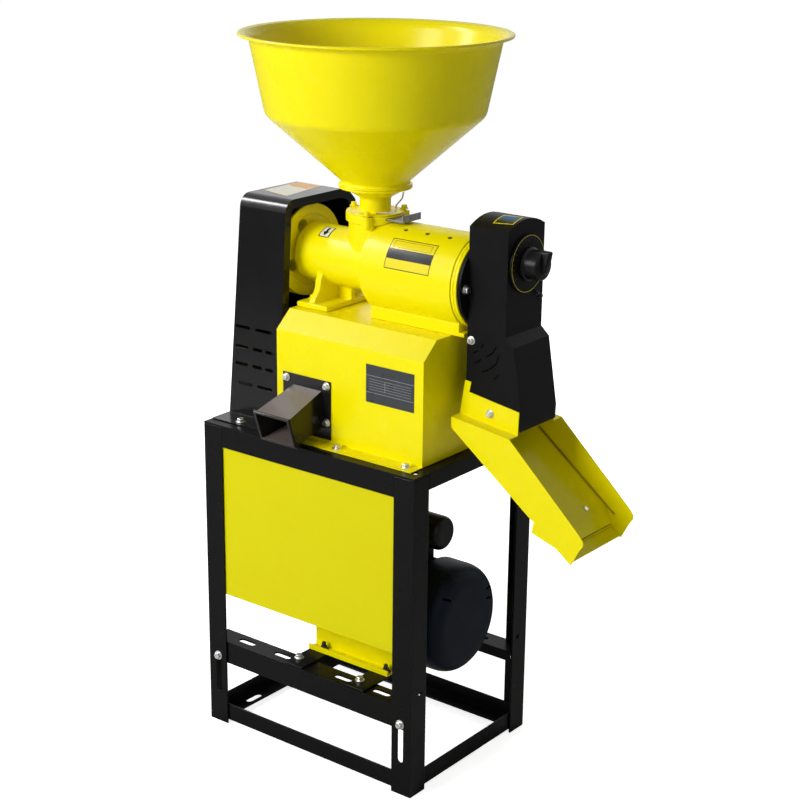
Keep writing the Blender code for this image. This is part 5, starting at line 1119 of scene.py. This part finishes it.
def arrowLabel(x, degrees):
    f, angles = arrowForm, arrowForm["angles"]
    if not (inside(x, f["xs"], 1, 2) and inside(degrees, angles, 1, 5)):
        return "labelBlack"
    off = abs(x + f["middle"])
    inHead = inside(degrees, angles, 3, 4) and off < f["headHalf"] * (angles[4] - degrees) / (angles[4] - angles[3])
    inTail = inside(degrees, angles, 2, 3) and off < f["tailHalf"]
    return "labelBlack" if inHead or inTail else "labelWhite"


stickerSheet("neck_arrow_label", spread(arrowForm["xs"], 0.0011), spread(arrowForm["angles"][::-1], 1.1),
             onCylinder(arrowForm["radius"]), arrowLabel)

plateForm = {"xs": (0.085, 0.0905, 0.12075, 0.12125, 0.170, 0.1756), "bottom": 0.606, "top": 0.665, "face": -0.11005,
             "borders": (0.6220, 0.6480), "borderHalf": 0.0003, "rows": (0.6268, 0.6308, 0.6348, 0.6388, 0.6428),
             "rowHalf": 0.00022, "thick": 0.0004}


def plateLabel(x, z):
    f = plateForm
    onBorder = any(abs(z - border) < f["borderHalf"] for border in f["borders"])
    onRow = any(abs(z - row) < f["rowHalf"] for row in f["rows"]) and inside(x, f["xs"], 1, 4)
    onColumn = inside(x, f["xs"], 2, 3) and f["rows"][0] < z < f["rows"][-1]
    return "plateLine" if onBorder or onRow or onColumn else "plateGrey"


def plateCuts():
    f = plateForm
    lines = [(border, f["borderHalf"]) for border in f["borders"]] + [(row, f["rowHalf"]) for row in f["rows"]]
    return [f["bottom"]] + [z + s * half for z, half in sorted(lines) for s in both] + [f["top"]]


stickerSheet("rating_plate", plateForm["xs"], plateCuts(), lambda x, z: place(x, plateForm["face"], z), plateLabel,
             plateForm["thick"])

# Corners on the guard's top, and cuts as shares of the sheet's sides
guardForm = {"corners": ((-0.187, -0.030), (-0.129, -0.043), (-0.191, 0.056), (-0.142, 0.056)), "z": 0.87852,
             "us": (0, 0.03, 0.5, 0.97, 1), "vs": (0, 0.03, 0.35, 0.62, 0.97, 1)}


def guardLabel(u, v):
    return "labelOrange" if inside(u, guardForm["us"], 1, 3) and inside(v, guardForm["vs"], 3, 4) else "labelWhite"


def onGuard(u, v):
    a, b, c, d = [Vector(corner) for corner in guardForm["corners"]]
    spot = a * (1 - u) * (1 - v) + b * u * (1 - v) + c * (1 - u) * v + d * u * v
    return place(spot.x, spot.y, guardForm["z"])


stickerSheet("guard_label", guardForm["us"], guardForm["vs"], onGuard, guardLabel)

casingForm = {"us": (0, 0.05, 0.1, 0.9, 0.95, 1), "vs": (0, 0.06, 0.42, 0.9, 0.94, 1)}


def casingLabel(u, v):
    us, vs = casingForm["us"], casingForm["vs"]
    if not (inside(u, us, 1, 4) and inside(v, vs, 1, 4)):
        return "labelYellow"
    return "labelBlue" if inside(u, us, 2, 3) and inside(v, vs, 2, 3) else "labelBlack"


def onCasing(u, v):
    y = -0.0335 + 0.031 * v + 0.004 * u
    x = 0.2535 + 0.0325 * u - 0.002 * v
    lift = 0.0125 * (1 - (y / 0.04525) ** 2)
    return place(x, y, 0.88125 + lift + 0.0009)


stickerSheet("casing_label", spread(casingForm["us"], 0.3), spread(casingForm["vs"], 0.1), onCasing, casingLabel)
print("stickers placed")


# Near-black strips on the casing's front face: painted shade standing in for the openings of its louvre slits

slitForm = {"arcs": (((0.2520, 0.7120), (0.2505, 0.7085), (0.2470, 0.7050)),
                     ((0.2740, 0.7110), (0.2685, 0.7010), (0.2570, 0.6930)),
                     ((0.2790, 0.6990), (0.2755, 0.6860), (0.2640, 0.6760), (0.2500, 0.6690)),
                     ((0.2795, 0.6700), (0.2765, 0.6655), (0.2720, 0.6625)),
                     ((0.2420, 0.7000), (0.2380, 0.6965), (0.2330, 0.6945)),
                     ((0.2480, 0.6880), (0.2430, 0.6830), (0.2370, 0.6800))),
            "half": 0.0011, "deep": 0.00035, "y": -0.04612}


def makeSlits():
    f = slitForm
    slits = []
    for arc in f["arcs"]:
        line = [Vector(point) for point in rounded(list(arc), {k: 0.004 for k in range(1, len(arc) - 1)}, 5)]
        slit = drawLine(place(line[0].x, f["y"], line[0].y), [place(p.x, f["y"], p.y) for p in line[1:]])
        bpy.ops.mesh.select_all(action="SELECT")
        bpy.ops.mesh.extrude_region_move(TRANSFORM_OT_translate={"value": (0, f["deep"], 0)})
        leaveMesh()
        applyModifier(slit, "SOLIDIFY", thickness=2 * f["half"], offset=0.0)
        slits.append(slit)
    finishPiece(joinPieces(slits), "casing_slit_shade", "slitShade", angle=0)


makeSlits()
print("slits pressed")


# Rivet in the chute, and brown rods of painted shade in the creases where its floor meets the walls and under its lip

chuteForm = {"top": (0.2745, 0.5656), "low": (0.4220, 0.4501), "lip": (0.4150, 0.4400), "wallY": 0.0668,
             "rivet": (0.3950, 0.0240), "creaseShade": 0.0016, "lift": 0.0004, "lipYs": (-0.03, 0.064), "lipShade": 0.0011}


def softRod(start, end, radius):
    piece = rod(start, end, radius, 12)
    editMesh(piece)
    bpy.ops.mesh.subdivide(number_cuts=2)
    bpy.ops.mesh.vertices_smooth(factor=0.3)
    leaveMesh()
    return piece


def makeChuteDetails():
    c = chuteForm
    (x0, z0), (x1, z1) = c["top"], c["low"]
    slope = math.atan2(z0 - z1, x1 - x0)
    rivet = spinPiece(rounded([(0, 0), (0, 0.0046), (0.0014, 0.0042), (0.0026, 0)], {1: 0.0003, 2: 0.0012}, 4),
                      "Z", (-shiftX, 0), 28)
    x, y = c["rivet"]
    z = z0 - (x - x0) * math.tan(slope)
    rivet.data.transform(Matrix.Translation(place(x, y, z)) @ Matrix.Rotation(slope, 4, "Y"))
    finishPiece(rivet, "chute_rivet", "zinc")
    walls = [side * c["wallY"] for side in both]
    # Brown rods along the floor's creases with the walls are painted crease shade
    creaseShades = [softRod((x0, y, z0 + c["lift"]), (x1, y, z1 + c["lift"]), c["creaseShade"]) for y in walls]
    finishPiece(joinPieces(creaseShades), "chute_crease_shades", "creaseShadeBrown")
    # A brown rod along the lip's edge is painted shadow of the gap under it
    (x, z), (y0, y1) = c["lip"], c["lipYs"]
    finishPiece(softRod((x, y0, z), (x, y1, z), c["lipShade"]), "chute_lip_shade", "creaseShadeBrown")


makeChuteDetails()
print("chute details added")


# Floor, surroundings and lights

def plainFloor():
    clearSelection()
    bpy.ops.mesh.primitive_plane_add(size=60, location=(0, 0, -0.0006))
    floor = activePiece()
    floor.name = "floor"
    material, tree, shader = newMaterial("floor white", Base_Color=(0.9, 0.9, 0.9, 1), Roughness=1.0,
                                         Specular_IOR_Level=0.0)
    output = tree.nodes["Material Output"]
    rays = addNode(tree, "ShaderNodeLightPath")
    glow = addNode(tree, "ShaderNodeEmission")
    glow.inputs["Strength"].default_value = lightPlan["floorGlow"]
    both = addNode(tree, "ShaderNodeAddShader")
    pickShader = addNode(tree, "ShaderNodeMixShader")
    tree.links.new(shader.outputs[0], both.inputs[0])
    tree.links.new(glow.outputs[0], both.inputs[1])
    tree.links.new(rays.outputs["Is Camera Ray"], pickShader.inputs[0])
    tree.links.new(shader.outputs[0], pickShader.inputs[1])
    tree.links.new(both.outputs[0], pickShader.inputs[2])
    tree.links.new(pickShader.outputs[0], output.inputs["Surface"])
    floor.data.materials.append(material)


def whiteWorld(ambient):
    world = bpy.data.worlds.new("white room")
    bpy.context.scene.world = world
    world.use_nodes = True
    tree = world.node_tree
    background = tree.nodes["Background"]
    background.inputs["Color"].default_value = (1, 1, 1, 1)
    rays = addNode(tree, "ShaderNodeLightPath").outputs
    seen = doMath(tree, "MAXIMUM", rays["Is Camera Ray"], rays["Is Glossy Ray"])
    seen = doMath(tree, "MAXIMUM", seen, rays["Is Transmission Ray"])
    strength = addNode(tree, "ShaderNodeMapRange")
    for name, value in (("Value", seen), ("To Min", ambient), ("To Max", 1.0)):
        feed(tree, strength.inputs[name], value)
    tree.links.new(strength.outputs[0], background.inputs["Strength"])


def softBox(name, spot, size, power, target=(0.03, 0, 0.6)):
    clearSelection()
    bpy.ops.object.light_add(type="AREA", location=place(*spot))
    lamp = activePiece()
    lamp.name = name
    lamp.data.shape = "RECTANGLE"
    lamp.data.size, lamp.data.size_y = size
    lamp.data.energy = power
    aim = place(*target) - lamp.location
    lamp.rotation_euler = aim.to_track_quat("-Z", "Y").to_euler()
    return lamp


lightPlan = {"ambient": 0.21, "floorGlow": 0.82, "key": 88, "fill": 2.5, "strip": 120, "back": 40}
plainFloor()
whiteWorld(lightPlan["ambient"])
softBox("key", (-0.9, -3.0, 2.0), (1.3, 1.3), lightPlan["key"])
softBox("fill", (2.6, -1.5, 1.5), (0.7, 2.0), lightPlan["fill"])
softBox("strip", (-2.3, -1.3, 2.4), (0.5, 1.9), lightPlan["strip"], (-0.15, -0.08, 0.85)).visible_diffuse = False
softBox("back", (-1.7, 2.5, 1.9), (1.2, 1.2), lightPlan["back"]).visible_glossy = False


# Camera at the photo's angle

cameraPlan = {"spot": (1.6792, -2.0742, 1.4204), "target": (0.0636, 0, 0.5764), "roll": 0.6038, "lens": 80.03}


def setCamera(spot, target, roll, lens):
    ahead = (Vector(target) - Vector(spot)).normalized()
    right = ahead.cross(Vector((0, 0, 1))).normalized()
    up = right.cross(ahead)
    turn = math.radians(roll)
    across = right * math.cos(turn) + up * math.sin(turn)
    above = up * math.cos(turn) - right * math.sin(turn)
    clearSelection()
    bpy.ops.object.camera_add(location=place(*spot))
    camera = activePiece()
    camera.rotation_euler = Matrix((across, above, -ahead)).transposed().to_euler()
    camera.data.lens = lens
    camera.data.sensor_width = 36
    bpy.context.scene.camera = camera


setCamera(**cameraPlan)
scene = bpy.context.scene
scene.view_settings.view_transform = "Standard"
